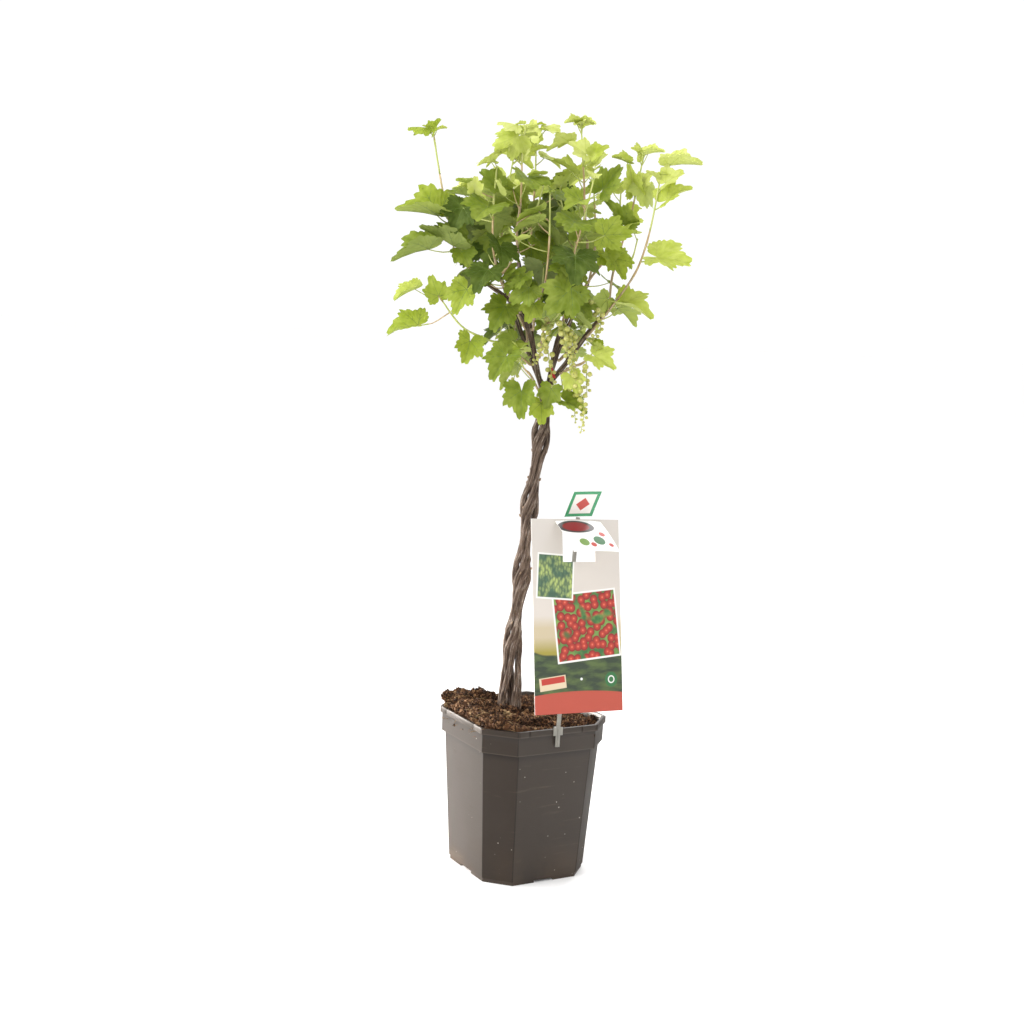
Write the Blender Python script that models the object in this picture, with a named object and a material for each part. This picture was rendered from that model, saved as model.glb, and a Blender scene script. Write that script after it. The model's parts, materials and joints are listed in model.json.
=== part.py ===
"""A potted red currant standard: six plaited stems, a leafy head with unripe fruit, and a plant label.

Metres, +Z up. The origin is the middle of the pot's underside, and the pot's sides lie along X and Y.
The plant is laid out in its own front view, (right, away, up), and from_front turns that into X, Y, Z:
the front view looks at the pot from between its -X and -Y sides.
"""

import itertools
import math
import random
from typing import NamedTuple

import bmesh
import bpy
from mathutils import Matrix, Vector
from mathutils.bvhtree import BVHTree

GAP = 0.0003
FRONT_TURN = math.radians(29.4)

# The pot: a square tub with cut corners, a collar and a flat lip
RIM_HALF = 0.095
RIM_CUT = 0.0348
BASE_CUT = 0.0292
POT_HEIGHT = 0.2134
LIP_HEIGHT = 0.008
LIP_WALL = 0.0038
COLLAR_HALF = 0.0924
COLLAR_TOP_HALF = 0.0930
COLLAR_FOOT = 0.1803
COLLAR_STEP = 0.0010
WALL_TOP_HALF = 0.0889
WALL_FOOT_HALF = 0.0780
WALL = 0.0018
FOOT_RING_HEIGHT = 0.0055
FOOT_RING_INSET = 0.0012
FLOOR = 0.0030
NOTCH_SIZE = (0.030, 0.028, 0.009)
NOTCH_DROP = 0.0015
SLIT_SIZE = (0.0012, 0.0030, 0.016)
SLIT_PLACES = (-0.043, 0.036)

# The bark mulch that fills the pot
SOIL_AT_STEMS = 0.2115
SOIL_POINTS_PER_SIDE = 3
SOIL_RINGS = (1.0, 0.82, 0.62, 0.42, 0.24)
SOIL_CLEAR = 0.0006
SOIL_SLOPE = (-0.85, -0.25)
SLOPE_LENGTH = 0.085
HEAP_RISE = 0.016
HEAP_FALL = 0.013
LUMP = 0.0030
LEVEL_MIDDLE = (-0.016, 0.002)
LEVEL_RADIUS = 0.026
LEVEL_BLEND = 0.022
POCKET_DEPTH = 0.010

# The plait: three pairs of stems that open into an eye and close to a waist in turn
STEM_FOOT_RADIUS = 0.0034
STEM_TOP_RADIUS = 0.0029
STEM_FOOT = SOIL_AT_STEMS + GAP
STEM_TOP = 0.632
STEM_STEP = 0.0180
STEM_ROOM = 1.08
SPREAD_ROUNDS = 30
FEET_END = 0.300
FEET_RADIUS = 0.0125
FEET_TURN = 60.0
FIRST_WAIST = 0.355
FIRST_TURN = -30.0
PAIR_TURN = 120.0
EYE_PITCH = 0.093
EYE_RADIUS = 0.0098
EYE_SPREAD = 1.05
STEM_SPACING = 0.0036
WAIST_HOLD = 0.8
TRUNK_LINE = (
    (0.211, -0.0185),
    (0.310, -0.0190),
    (0.400, -0.0115),
    (0.490, -0.0050),
    (0.585, 0.0055),
    (0.640, 0.0075),
)

# Boughs and twigs
BOUGH_TIP_RADIUS = 0.0022
BOUGH_STEP = 0.022
LIMB_START = 0.012
TWIG_RADIUS = 0.0017
TWIG_TIP_RADIUS = 0.0010
TWIG_STEP = 0.034
TWIG_START = 0.005
SIDE_TWIG_SHARE = 0.30
SIDE_TWIG_TURN = 80.0
SIDE_TWIG_START = (0.8, 0.6)
SIDE_TWIG_REACH = 0.030
SIDE_TWIG_OUT = 0.35
SIDE_TWIG_RISE = 0.034
SIDE_TWIG_STEP = 0.022
SIDE_TWIG_SIZE = 0.8
SIDE_TWIG_LEAVES = 4
SIDE_TWIG_FIRST = 0.45

# The leaves: where they stand on a twig, how they hang and how they are cut
BLADE_THICK = 0.0007
BLADE_HALF = ((114.0, 0.56), (48.0, 0.86), (24.0, 0.72))
BLADE_FOLD = 0.30
BLADE_ARCH = 0.16
BLADE_VARY = (0.88, 1.08)
STALK_HALF = 0.0007
STALK_SUNK = 0.30
STALK_VARY = (0.85, 1.15)
LEAF_SHIFT = 0.3
LAST_LEAF = 0.985
LEAF_TURN = 144.0
LEAF_TURN_VARY = 0.3
LEAF_TRIES = 7
LEAF_NEXT_TURN = 47.0
LEAF_SHRINK = 0.95
LEAF_CLEAR = 0.0004
LEAF_OUT = 0.80
LEAF_ALONG = 0.35
LEAF_LIFT = 0.40
LEAF_DROOP = (-0.10, 0.30)
OLD_DROOP = 0.45
LEAF_ROLL = 0.45
YOUNG_FROM = 0.45
YOUNG_BLADE = 0.68
YOUNG_STALK = 0.32

# The strings of fruit
STRING_RADIUS = 0.0008
STRING_STEP = 0.016
STRING_BENDS = (0.25, 0.65)
STRING_ARCH = 0.12
FRUIT_FROM = 0.22
FRUIT_RADIUS = 0.0047
FRUIT_VARY = (0.92, 1.08)
FRUIT_TAPER = 0.42
FRUIT_SIDE = 0.65
FRUIT_TURN = 137.0


class Bough(NamedTuple):
    """One limb that carries on from a stem's top."""

    name: str
    path: tuple


class Shoot(NamedTuple):
    """One mass of leaves, grown from a stem that leaves its bough at a share of the bough's length."""

    name: str
    bough: str
    share: float
    path: tuple
    leaves: int
    blade: float
    turn: float
    first: float = 0.12
    stalk: float = 0.036
    side_twigs: int = 1
    bare: tuple = (1.0, 1.0)
    strings: tuple = ()


# In the order of the stems' tops, round the plait from its front right corner: (right, away, up)
BOUGHS = (
    Bough(
        "bough_low_right",
        ((0.016, -0.012, 0.662), (0.036, -0.014, 0.690), (0.058, -0.013, 0.724), (0.082, -0.010, 0.754)),
    ),
    Bough(
        "bough_right",
        ((0.014, 0.001, 0.672), (0.020, 0.003, 0.712), (0.032, 0.004, 0.745), (0.052, 0.000, 0.804)),
    ),
    Bough(
        "bough_back_right",
        ((0.013, 0.014, 0.662), (0.024, 0.034, 0.702), (0.042, 0.060, 0.750), (0.060, 0.080, 0.792)),
    ),
    Bough(
        "bough_back_left",
        ((-0.002, 0.014, 0.664), (-0.020, 0.034, 0.706), (-0.040, 0.062, 0.752), (-0.058, 0.086, 0.794)),
    ),
    Bough(
        "bough_left",
        ((-0.003, 0.001, 0.670), (-0.016, 0.002, 0.722), (-0.036, 0.000, 0.756), (-0.090, -0.007, 0.795)),
    ),
    Bough(
        "bough_leader",
        ((-0.002, -0.010, 0.668), (-0.011, -0.014, 0.708), (-0.020, -0.022, 0.748), (-0.035, -0.047, 0.812)),
    ),
)

SHOOTS = (
    Shoot(
        "foliage_left_tall", "bough_left", 1.0,
        ((-0.106, -0.010, 0.812), (-0.121, -0.010, 0.846), (-0.137, -0.010, 0.897), (-0.153, -0.010, 0.974)),
        leaves=11, blade=0.047, turn=200.0, side_twigs=0, bare=(0.56, 0.93),
    ),
    Shoot(
        "foliage_front_centre", "bough_leader", 1.0,
        ((-0.039, -0.050, 0.850), (-0.036, -0.050, 0.886), (-0.037, -0.050, 0.957), (-0.034, -0.050, 0.980)),
        leaves=11, blade=0.047, turn=170.0,
    ),
    Shoot(
        "foliage_right_centre", "bough_right", 1.0,
        ((0.053, -0.002, 0.847), (0.048, -0.004, 0.879), (0.045, -0.004, 0.916), (0.037, -0.004, 0.992)),
        leaves=11, blade=0.045, turn=20.0,
    ),
    Shoot(
        "foliage_right_tall", "bough_low_right", 1.0,
        ((0.088, -0.002, 0.801), (0.098, 0.010, 0.840), (0.109, 0.016, 0.883), (0.122, 0.020, 0.962)),
        leaves=12, blade=0.045, turn=250.0,
    ),
    Shoot(
        "foliage_back_right", "bough_back_right", 1.0,
        ((0.068, 0.096, 0.840), (0.066, 0.112, 0.890), (0.060, 0.122, 0.950)),
        leaves=10, blade=0.048, turn=60.0,
    ),
    Shoot(
        "foliage_back_left", "bough_back_left", 1.0,
        ((-0.062, 0.104, 0.842), (-0.058, 0.120, 0.896), (-0.050, 0.130, 0.958)),
        leaves=10, blade=0.048, turn=100.0,
    ),
    Shoot(
        "foliage_far_right", "bough_low_right", 0.72,
        ((0.092, -0.030, 0.768), (0.118, -0.034, 0.812), (0.132, -0.036, 0.866), (0.140, -0.036, 0.926)),
        leaves=10, blade=0.047, turn=330.0, side_twigs=0, bare=(0.45, 0.78),
    ),
    Shoot(
        "foliage_centre_top", "bough_back_left", 0.45,
        ((-0.026, 0.026, 0.790), (-0.020, 0.022, 0.860), (-0.019, 0.020, 0.940), (-0.021, 0.020, 0.990)),
        leaves=12, blade=0.047, turn=30.0,
    ),
    Shoot(
        "foliage_left_low", "bough_left", 0.26,
        ((-0.046, -0.010, 0.705), (-0.072, -0.014, 0.712), (-0.106, -0.016, 0.728), (-0.136, -0.016, 0.764)),
        leaves=9, blade=0.045, turn=190.0, side_twigs=0,
    ),
    Shoot(
        "foliage_front_low", "bough_leader", 0.10,
        ((-0.012, -0.026, 0.668), (-0.022, -0.040, 0.678), (-0.030, -0.048, 0.694)),
        leaves=9, blade=0.048, turn=200.0, first=0.10, stalk=0.034, side_twigs=0,
    ),
    Shoot(
        "foliage_right_low", "bough_low_right", 0.32,
        ((0.040, -0.030, 0.682), (0.054, -0.040, 0.688), (0.068, -0.044, 0.704)),
        leaves=8, blade=0.050, turn=280.0, first=0.25, stalk=0.032, side_twigs=0,
        strings=((0.35, (0.010, -0.004, -0.070), 7), (0.75, (0.004, -0.002, -0.046), 5)),
    ),
    Shoot(
        "foliage_front_left", "bough_left", 0.62,
        ((-0.058, -0.030, 0.790), (-0.068, -0.052, 0.826), (-0.070, -0.062, 0.880), (-0.068, -0.064, 0.930)),
        leaves=12, blade=0.048, turn=230.0,
    ),
    Shoot(
        "foliage_front_right", "bough_right", 0.55,
        ((0.034, -0.030, 0.776), (0.034, -0.058, 0.818), (0.044, -0.072, 0.868), (0.054, -0.078, 0.918)),
        leaves=11, blade=0.050, turn=290.0,
        strings=((0.10, (0.006, -0.004, -0.040), 5),),
    ),
    Shoot(
        "foliage_front_middle", "bough_leader", 0.52,
        ((-0.010, -0.050, 0.756), (0.000, -0.076, 0.790), (0.002, -0.088, 0.838), (0.000, -0.092, 0.896)),
        leaves=12, blade=0.050, turn=260.0,
    ),
    Shoot(
        "foliage_fruit_spur", "bough_leader", 0.32,
        ((0.002, -0.034, 0.730), (0.014, -0.046, 0.742), (0.024, -0.056, 0.756)),
        leaves=6, blade=0.045, turn=240.0, first=0.45, stalk=0.030, side_twigs=0,
        strings=((0.10, (0.002, 0.004, -0.052), 6), (0.40, (0.022, -0.004, -0.078), 8)),
    ),
    Shoot(
        "foliage_left_back", "bough_left", 0.50,
        ((-0.056, 0.026, 0.788), (-0.082, 0.056, 0.814), (-0.094, 0.076, 0.858), (-0.096, 0.084, 0.910)),
        leaves=11, blade=0.048, turn=120.0,
    ),
    Shoot(
        "foliage_right_back", "bough_right", 0.80,
        ((0.062, 0.026, 0.800), (0.086, 0.052, 0.834), (0.096, 0.068, 0.874), (0.098, 0.076, 0.922)),
        leaves=11, blade=0.047, turn=70.0,
    ),
    Shoot(
        "foliage_back_middle", "bough_back_right", 0.60,
        ((0.030, 0.086, 0.776), (0.010, 0.110, 0.806), (0.002, 0.118, 0.856), (0.002, 0.122, 0.920)),
        leaves=12, blade=0.050, turn=90.0,
    ),
    Shoot(
        "foliage_back_low_left", "bough_back_left", 0.40,
        ((-0.034, 0.060, 0.714), (-0.042, 0.078, 0.722), (-0.048, 0.096, 0.742)),
        leaves=8, blade=0.045, turn=110.0, first=0.15, stalk=0.034, side_twigs=0,
        strings=((0.30, (-0.006, 0.006, -0.060), 6),),
    ),
    Shoot(
        "foliage_back_low_right", "bough_back_right", 0.35,
        ((0.040, 0.056, 0.704), (0.048, 0.072, 0.712), (0.054, 0.088, 0.732)),
        leaves=8, blade=0.045, turn=50.0, first=0.15, stalk=0.034, side_twigs=0,
        strings=((0.40, (0.006, 0.006, -0.060), 6),),
    ),
)

# The label: a card with a cut-out, held by a stake that clips on the pot's -Y lip
CARD_SIZE = (0.1350, 0.0008, 0.2545)
CARD_FOOT = (0.0308, -0.0945, 0.2322)
LEAN_BACK = math.radians(-11.5)
CARD_TURN = math.radians(2.0)
WINDOW_SIZE = (0.050, 0.010, 0.048)
WINDOW_PLACE = (0.0040, 0.198)
FLAP_SIZE = (0.070, 0.0008, 0.063)
FLAP_HINGE = (0.0030, 0.2515)
FLAP_TILT = math.radians(-48.0)
STAKE_SIZE = (0.0060, 0.0016, 0.2770)
STAKE_TURN = math.radians(9.7)
SIGN_SIZE = (0.043, 0.0008, 0.042)
SIGN_TILT = math.radians(31.0)
SIGN_RISE = 0.0011
CLIP_MIDDLE = -0.0016
CLIP_WIDTH = 0.0065
CLIP_THICK = 0.0015
CLIP_FOOT = 0.1895
CLIP_INNER_FOOT = 0.2020
STAKE_RISE = 0.0010

# The small three-cornered tag in the crown
MARKER_OUTLINE = ((-0.0042, 0.0), (0.0042, 0.0), (-0.0013, 0.015))
MARKER_THICK = 0.0008
MARKER_PLACE = (0.0165, -0.0158, 0.6660)


def from_front(point):
    """The front view's (right, away, up) as X, Y, Z."""
    right, away, up = point
    turn_cos, turn_sin = math.cos(FRONT_TURN), math.sin(FRONT_TURN)
    return Vector((right * turn_cos + away * turn_sin, away * turn_cos - right * turn_sin, up))


def material(name, colour, roughness):
    """A Principled material that does not look metallic."""
    made = bpy.data.materials.new(name)
    made.use_nodes = True
    shader = made.node_tree.nodes["Principled BSDF"]
    shader.inputs["Base Color"].default_value = (*colour, 1.0)
    shader.inputs["Roughness"].default_value = roughness
    shader.inputs["Metallic"].default_value = 0.0
    return made


def add_object(name, data, finish, collection):
    """An object for this mesh or curve, with its material, in the collection."""
    obj = bpy.data.objects.new(name, data)
    if finish:
        data.materials.append(finish)
    collection.objects.link(obj)
    return obj


def mesh_of(name, shape):
    """A mesh from (points, faces)."""
    mesh = bpy.data.meshes.new(name)
    mesh.from_pydata([tuple(point) for point in shape[0]], [], [tuple(face) for face in shape[1]])
    mesh.update()
    return mesh


def box_object(name, size, matrix, finish, collection):
    """A box from the cube primitive, with the middle of its foot at the matrix's place."""
    shape = bmesh.new()
    fit = Matrix.Translation((0.0, 0.0, size[2] / 2)) @ Matrix.Diagonal((*size, 1.0))
    bmesh.ops.create_cube(shape, size=1.0, matrix=matrix @ fit)
    mesh = bpy.data.meshes.new(name)
    shape.to_mesh(mesh)
    shape.free()
    return add_object(name, mesh, finish, collection)


def outline_object(name, outline, thick, matrix, finish, collection):
    """A flat outline, as thick as this, in the matrix's XY plane."""
    curve = bpy.data.curves.new(name, "CURVE")
    curve.dimensions = "2D"
    curve.fill_mode = "BOTH"
    curve.extrude = thick / 2
    spline = curve.splines.new("POLY")
    spline.points.add(len(outline) - 1)
    for point, (x, y) in zip(spline.points, outline):
        point.co = (x, y, 0.0, 1.0)
    spline.use_cyclic_u = True
    plate = add_object(name, curve, finish, collection)
    plate.matrix_world = matrix
    return plate


def add_cutter(target, cutter):
    """Cuts the cutter out of the target."""
    cutter.hide_render = True
    cutter.display_type = "WIRE"
    cut = target.modifiers.new(cutter.name, "BOOLEAN")
    cut.operation = "DIFFERENCE"
    cut.object = cutter


# Limbs as paths


def curve_through(points, step):
    """Points about a step apart on a smooth curve through these points."""
    ends = [points[0] * 2 - points[1], *points, points[-1] * 2 - points[-2]]
    found = []
    for before, start, end, after in zip(ends, ends[1:], ends[2:], ends[3:]):
        count = max(1, round((end - start).length / step))
        for k in range(count):
            t = k / count
            bend = (start - end) * 3 + after - before
            slope = before * 2 - start * 5 + end * 4 - after
            found.append(start + ((bend * t + slope) * t + end - before) * (t / 2))
    return found + [points[-1]]


def along(path, share):
    """The point and the direction at this share of a path's length."""
    lengths = [(b - a).length for a, b in zip(path, path[1:])]
    left = share * sum(lengths)
    for a, b, length in zip(path, path[1:], lengths):
        if left <= length or b is path[-1]:
            return a + (b - a) * min(1.0, left / length), (b - a).normalized()
        left -= length


def tube(path, radii, sides):
    """A closed tube round a path, as (points, faces)."""
    points, faces = [], []
    across = None
    for k, centre in enumerate(path):
        ahead = (path[min(k + 1, len(path) - 1)] - path[max(k - 1, 0)]).normalized()
        across = ahead.orthogonal() if across is None else across - ahead * across.dot(ahead)
        across.normalize()
        other = ahead.cross(across)
        for j in range(sides):
            angle = math.tau * j / sides
            points.append(centre + (across * math.cos(angle) + other * math.sin(angle)) * radii[k])
    rings = [points[k:k + sides] for k in range(0, len(points), sides)]
    return stack(rings)


def stack(rings):
    """A closed body lofted through rings of the same number of points, as (points, faces)."""
    sides = len(rings[0])
    points = [point for ring in rings for point in ring]
    faces = []
    for k in range(len(rings) - 1):
        for j in range(sides):
            a, b = k * sides + j, k * sides + (j + 1) % sides
            faces.append((a, b, b + sides, a + sides))
    last = (len(rings) - 1) * sides
    faces.append(tuple(reversed(range(sides))))
    faces.append(tuple(range(last, last + sides)))
    return points, faces


def taper(count, root, tip):
    """This many radii from the root's to the tip's."""
    return [root + (tip - root) * k / (count - 1) for k in range(count)]


def smooth(value):
    """A step from 0 to 1 with soft ends."""
    value = min(1.0, max(0.0, value))
    return value * value * (3.0 - 2.0 * value)


def trunk_centre(up):
    """How far right the plait's middle stands at this height."""
    for (low, start), (high, end) in zip(TRUNK_LINE, TRUNK_LINE[1:]):
        if up <= high or high == TRUNK_LINE[-1][0]:
            return start + (end - start) * smooth((up - low) / (high - low))


def stem_point(pair, side, up):
    """A stem's centre at this height: pair 0, 1 or 2, and side -1 or 1 in the pair. The feet stand open."""
    eyes = (max(up, FEET_END) - FIRST_WAIST) / EYE_PITCH
    feet = smooth((FEET_END - up) / (FEET_END - STEM_FOOT))
    opened = math.sin(math.pi * eyes) ** 2
    opened += (1.0 - opened) * feet
    turned = eyes - WAIST_HOLD * math.sin(math.tau * eyes) / math.tau
    radius = STEM_SPACING * 2 + (EYE_RADIUS - STEM_SPACING * 2) * opened
    radius += (FEET_RADIUS - radius) * feet
    spread = math.asin(STEM_SPACING * (1.0 + (EYE_SPREAD - 1.0) * opened) / radius)
    angle = math.radians(FIRST_TURN + PAIR_TURN * (turned + pair) - FEET_TURN * feet) + side * spread
    wide = Vector((math.cos(angle), math.sin(angle))) * radius
    column = max(-1.0, min(1.0, 2.0 * math.cos(angle)))
    row = max(-1.0, min(1.0, math.sin(angle) / math.sin(math.radians(60.0))))
    tight = Vector((column * STEM_SPACING, row * STEM_SPACING * 2))
    across = tight.lerp(wide, opened)
    return from_front((across.x + trunk_centre(up), across.y, up))


def spread_apart(points, least):
    """Moves points of one height until no two are nearer than this."""
    for _ in range(SPREAD_ROUNDS):
        for a, b in itertools.combinations(points, 2):
            apart = b - a
            if apart.length < least:
                push = apart.normalized() * (least - apart.length) / 2
                a -= push
                b += push


def stem_paths():
    """The six stems' paths from the mulch up, in the order of BOUGHS at their tops."""
    count = round((STEM_TOP - STEM_FOOT) / STEM_STEP)
    levels = []
    for k, radius in enumerate(taper(count + 1, STEM_FOOT_RADIUS, STEM_TOP_RADIUS)):
        up = STEM_FOOT + (STEM_TOP - STEM_FOOT) * k / count
        level = [stem_point(pair, side, up) for pair in (0, 1, 2) for side in (-1, 1)]
        spread_apart(level, 2.0 * radius * STEM_ROOM + GAP)
        levels.append(level)
    paths = [list(path) for path in zip(*levels)]
    for path in paths:
        path[0] = Vector((path[1].x, path[1].y, path[0].z))
    return paths


def bough_paths(stems):
    """Each bough's path by name, from 0.3 mm past its stem's top."""
    paths = {}
    for stem, bough in zip(stems, BOUGHS):
        ahead = (stem[-1] - stem[-2]).normalized()
        upright = (ahead + Vector((0.0, 0.0, 2.0))).normalized()
        points = [stem[-1] + ahead * GAP, stem[-1] + upright * LIMB_START, *map(from_front, bough.path)]
        paths[bough.name] = curve_through(points, BOUGH_STEP)
    return paths


# Leaves, fruit and the masses they make


def leaf_plate(place, joint, ahead, up, length, thick, wide):
    """A lobed blade and its stalk as one bent plate. The stalk runs from place to joint, the blade's root."""
    across = up.cross(ahead).normalized()
    normal = ahead.cross(across).normalized()
    way = (joint - place).normalized()
    stalk_across = (across - way * across.dot(way)).normalized()
    stalk_normal = way.cross(stalk_across)
    joint_normal = (normal + stalk_normal).normalized()
    right_half = [(-angle, reach) for angle, reach in BLADE_HALF]
    left_half = list(reversed(BLADE_HALF))
    rim = [(place + stalk_across * side * wide, stalk_normal) for side in (1, -1)]
    rim.append((joint - across * wide, joint_normal))
    for angle, reach in [*right_half, (0.0, 1.0), *left_half]:
        x, y = math.cos(math.radians(angle)) * reach, math.sin(math.radians(angle)) * reach
        lift = BLADE_FOLD * abs(y) - BLADE_ARCH * x * abs(x)
        rim.append((joint + (ahead * x + across * y + normal * lift) * length, normal))
    rim.append((joint + across * wide, joint_normal))
    count = len(rim)
    last, tip = count - 1, 3 + len(BLADE_HALF)
    points = [point + out * thick * half for half in (0.5, -0.5) for point, out in rim]
    top = [(0, 1, 2), (0, 2, last), (2, tip, last)]
    top += [(2, k, k + 1) for k in range(3, tip)]
    top += [(last, k, k + 1) for k in range(tip, last - 1)]
    faces = top + [(count + a, count + c, count + b) for a, b, c in top]
    faces += [((k + 1) % count, k, count + k, count + (k + 1) % count) for k in range(count)]
    return points, faces


def berry(place, radius):
    """A round fruit, as (points, faces)."""
    shape = bmesh.new()
    bmesh.ops.create_icosphere(shape, subdivisions=1, radius=radius, matrix=Matrix.Translation(place))
    found = [v.co.copy() for v in shape.verts], [tuple(v.index for v in face.verts) for face in shape.faces]
    shape.free()
    return found


class Crown:
    """Grows every mass by one seeded rule. What would touch a limb or another mass is left out."""

    def __init__(self, limbs):
        self.limbs = [self.solid(tube(path, [r + LEAF_CLEAR for r in radii], 6)) for path, radii in limbs]
        self.taken = []
        self.masses = {}

    @staticmethod
    def solid(shape):
        """What a touch is tested with: a tree of faces, and a ball round them."""
        points, faces = shape
        middle = sum(points, Vector()) / len(points)
        return BVHTree.FromPolygons(points, faces), middle, max((point - middle).length for point in points)

    @staticmethod
    def touch(one, others):
        tree, middle, reach = one
        return any((middle - o[1]).length < reach + o[2] and tree.overlap(o[0]) for o in others)

    def clear_of_others(self, solid, name):
        others = [o for owner, o in self.taken if owner != name]
        return not self.touch(solid, self.limbs) and not self.touch(solid, others)

    def add_twig(self, name, path, root, tip):
        """A twig, unless it touches something past its first step."""
        radii = taper(len(path), root, tip)
        wide = [radius + LEAF_CLEAR for radius in radii]
        if not self.clear_of_others(self.solid(tube(path[1:], wide[1:], 3)), name):
            return False
        self.taken.append((name, self.solid(tube(path, wide, 3))))
        self.masses[name]["twigs"].append((path, radii))
        return True

    def add_leaf(self, name, rng, place, stem_way, turn, length, stalk, age):
        """One leaf on a twig at place. It is tried at a few turns, smaller each time, and then left out."""
        side = stem_way.orthogonal().normalized()
        for _ in range(LEAF_TRIES):
            vary = rng.uniform(-LEAF_TURN_VARY, LEAF_TURN_VARY)
            out = Matrix.Rotation(turn + vary, 3, stem_way) @ side
            way = (out * LEAF_OUT + stem_way * LEAF_ALONG + Vector((0, 0, LEAF_LIFT))).normalized()
            level = Vector((way.x, way.y, 0.0)).normalized()
            droop = rng.uniform(*LEAF_DROOP) + OLD_DROOP * age
            ahead = (level * math.cos(droop) - Vector((0, 0, math.sin(droop)))).normalized()
            roll = rng.uniform(-LEAF_ROLL, LEAF_ROLL)
            up = (Vector((0, 0, 1)) + ahead.cross(Vector((0, 0, 1))) * roll).normalized()
            joint = place + way * stalk
            start = place.lerp(joint, STALK_SUNK)
            thick, wide = BLADE_THICK + 2 * LEAF_CLEAR, STALK_HALF + LEAF_CLEAR
            test = self.solid(leaf_plate(start, joint, ahead, up, length, thick, wide))
            if not self.touch(test, self.limbs) and not self.touch(test, [o for _, o in self.taken]):
                self.taken.append((name, test))
                self.masses[name]["leaves"].append((place, joint, ahead, up, length, age))
                return
            turn += math.radians(LEAF_NEXT_TURN)
            length *= LEAF_SHRINK

    def add_string(self, name, rng, place, hang, berries):
        """A string of fruit: its stalk leaves the twig sideways and bends down, with fruit round it."""
        tip = place + from_front(hang)
        bend = place.lerp(tip, STRING_BENDS[0]) + Vector((0, 0, -hang[2] * STRING_ARCH))
        stalk = curve_through([place, bend, place.lerp(tip, STRING_BENDS[1]), tip], STRING_STEP)
        balls = []
        for k in range(berries):
            share = FRUIT_FROM + (1.0 - FRUIT_FROM) * k / (berries - 1)
            centre, way = along(stalk, share)
            radius = FRUIT_RADIUS * (1.0 - FRUIT_TAPER * share) * rng.uniform(*FRUIT_VARY)
            out = Matrix.Rotation(k * math.radians(FRUIT_TURN), 3, way) @ way.orthogonal().normalized()
            balls.append((centre + out * radius * FRUIT_SIDE, radius))
        tests = [self.solid(berry(centre, radius + LEAF_CLEAR)) for centre, radius in balls]
        tests.append(self.solid(tube(stalk[1:], [STRING_RADIUS + LEAF_CLEAR] * (len(stalk) - 1), 3)))
        if all(self.clear_of_others(test, name) for test in tests):
            self.taken += [(name, test) for test in tests]
            self.masses[name]["strings"].append((stalk, balls))

    def start(self, shoot, boughs):
        """The shoot's main twig: from 0.3 mm past its bough's tip, or 0.3 mm off the bough's side."""
        self.masses[shoot.name] = {"twigs": [], "leaves": [], "strings": []}
        bough, radii = boughs[shoot.bough]
        centre, way = along(bough, shoot.share)
        points = [from_front(point) for point in shoot.path]
        if shoot.share < 1.0:
            out = points[0] - centre
            way = (out - way * out.dot(way)).normalized()
            centre = centre + way * (radii[0] + (radii[-1] - radii[0]) * shoot.share)
        points = [centre + way * GAP, centre + way * TWIG_START, *points]
        path = curve_through(points, TWIG_STEP)
        self.add_twig(shoot.name, path, TWIG_RADIUS, TWIG_TIP_RADIUS)
        return path

    def hang_fruit(self, shoot, path, rng):
        """The strings of fruit of one shoot."""
        for share, hang, berries in shoot.strings:
            place, _ = along(path, share)
            self.add_string(shoot.name, rng, place, hang, berries)

    def fill(self, shoot, path, rng):
        """Side twigs and leaves of one shoot."""
        twigs = [(path, shoot.leaves, shoot.first)]
        for k in range(shoot.side_twigs):
            root, way = along(path, SIDE_TWIG_SHARE * (k + 1))
            side = way.orthogonal().normalized()
            out = Matrix.Rotation(math.radians(shoot.turn + SIDE_TWIG_TURN), 3, way) @ side
            bend = root + (out * SIDE_TWIG_START[0] + way * SIDE_TWIG_START[1]) * SIDE_TWIG_REACH
            tip = bend + (out * SIDE_TWIG_OUT + Vector((0, 0, 1))) * SIDE_TWIG_RISE
            twig = curve_through([root, bend, tip], SIDE_TWIG_STEP)
            ends = TWIG_RADIUS * SIDE_TWIG_SIZE, TWIG_TIP_RADIUS * SIDE_TWIG_SIZE
            if self.add_twig(shoot.name, twig, *ends):
                twigs.append((twig, SIDE_TWIG_LEAVES, SIDE_TWIG_FIRST))
        for twig, count, first in twigs:
            for k in range(count):
                share = first + (1.0 - first) * (k + LEAF_SHIFT) / (count - 1 + 2 * LEAF_SHIFT)
                if shoot.bare[0] < share < shoot.bare[1]:
                    continue
                young = smooth((share - YOUNG_FROM) / (1.0 - YOUNG_FROM))
                place, way = along(twig, min(share, LAST_LEAF))
                turn = math.radians(shoot.turn + k * LEAF_TURN)
                length = shoot.blade * (1.0 - (1.0 - YOUNG_BLADE) * young) * rng.uniform(*BLADE_VARY)
                stalk = shoot.stalk * (1.0 - (1.0 - YOUNG_STALK) * young) * rng.uniform(*STALK_VARY)
                self.add_leaf(shoot.name, rng, place, way, turn, length, stalk, 1.0 - young)


def fuse(name, shapes, finish, collection):
    """One closed body from overlapping shapes. Loose scraps and sealed hollows are dropped."""
    parts = bpy.data.collections.new(name + "_parts")
    base = add_object(name, mesh_of(name, shapes[0]), finish, collection)
    for k, shape in enumerate(shapes[1:]):
        add_object(f"{name}_part_{k}", mesh_of(f"{name}_part_{k}", shape), None, parts)
    union = base.modifiers.new("union", "BOOLEAN")
    union.operand_type = "COLLECTION"
    union.collection = parts
    union.operation = "UNION"
    union.solver = "EXACT"
    graph = bpy.context.evaluated_depsgraph_get()
    joined = bpy.data.meshes.new_from_object(base.evaluated_get(graph))
    base.modifiers.clear()
    base.data = joined
    for piece in list(parts.objects):
        bpy.data.objects.remove(piece)
    bpy.data.collections.remove(parts)
    keep_largest_body(joined)
    return base


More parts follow.
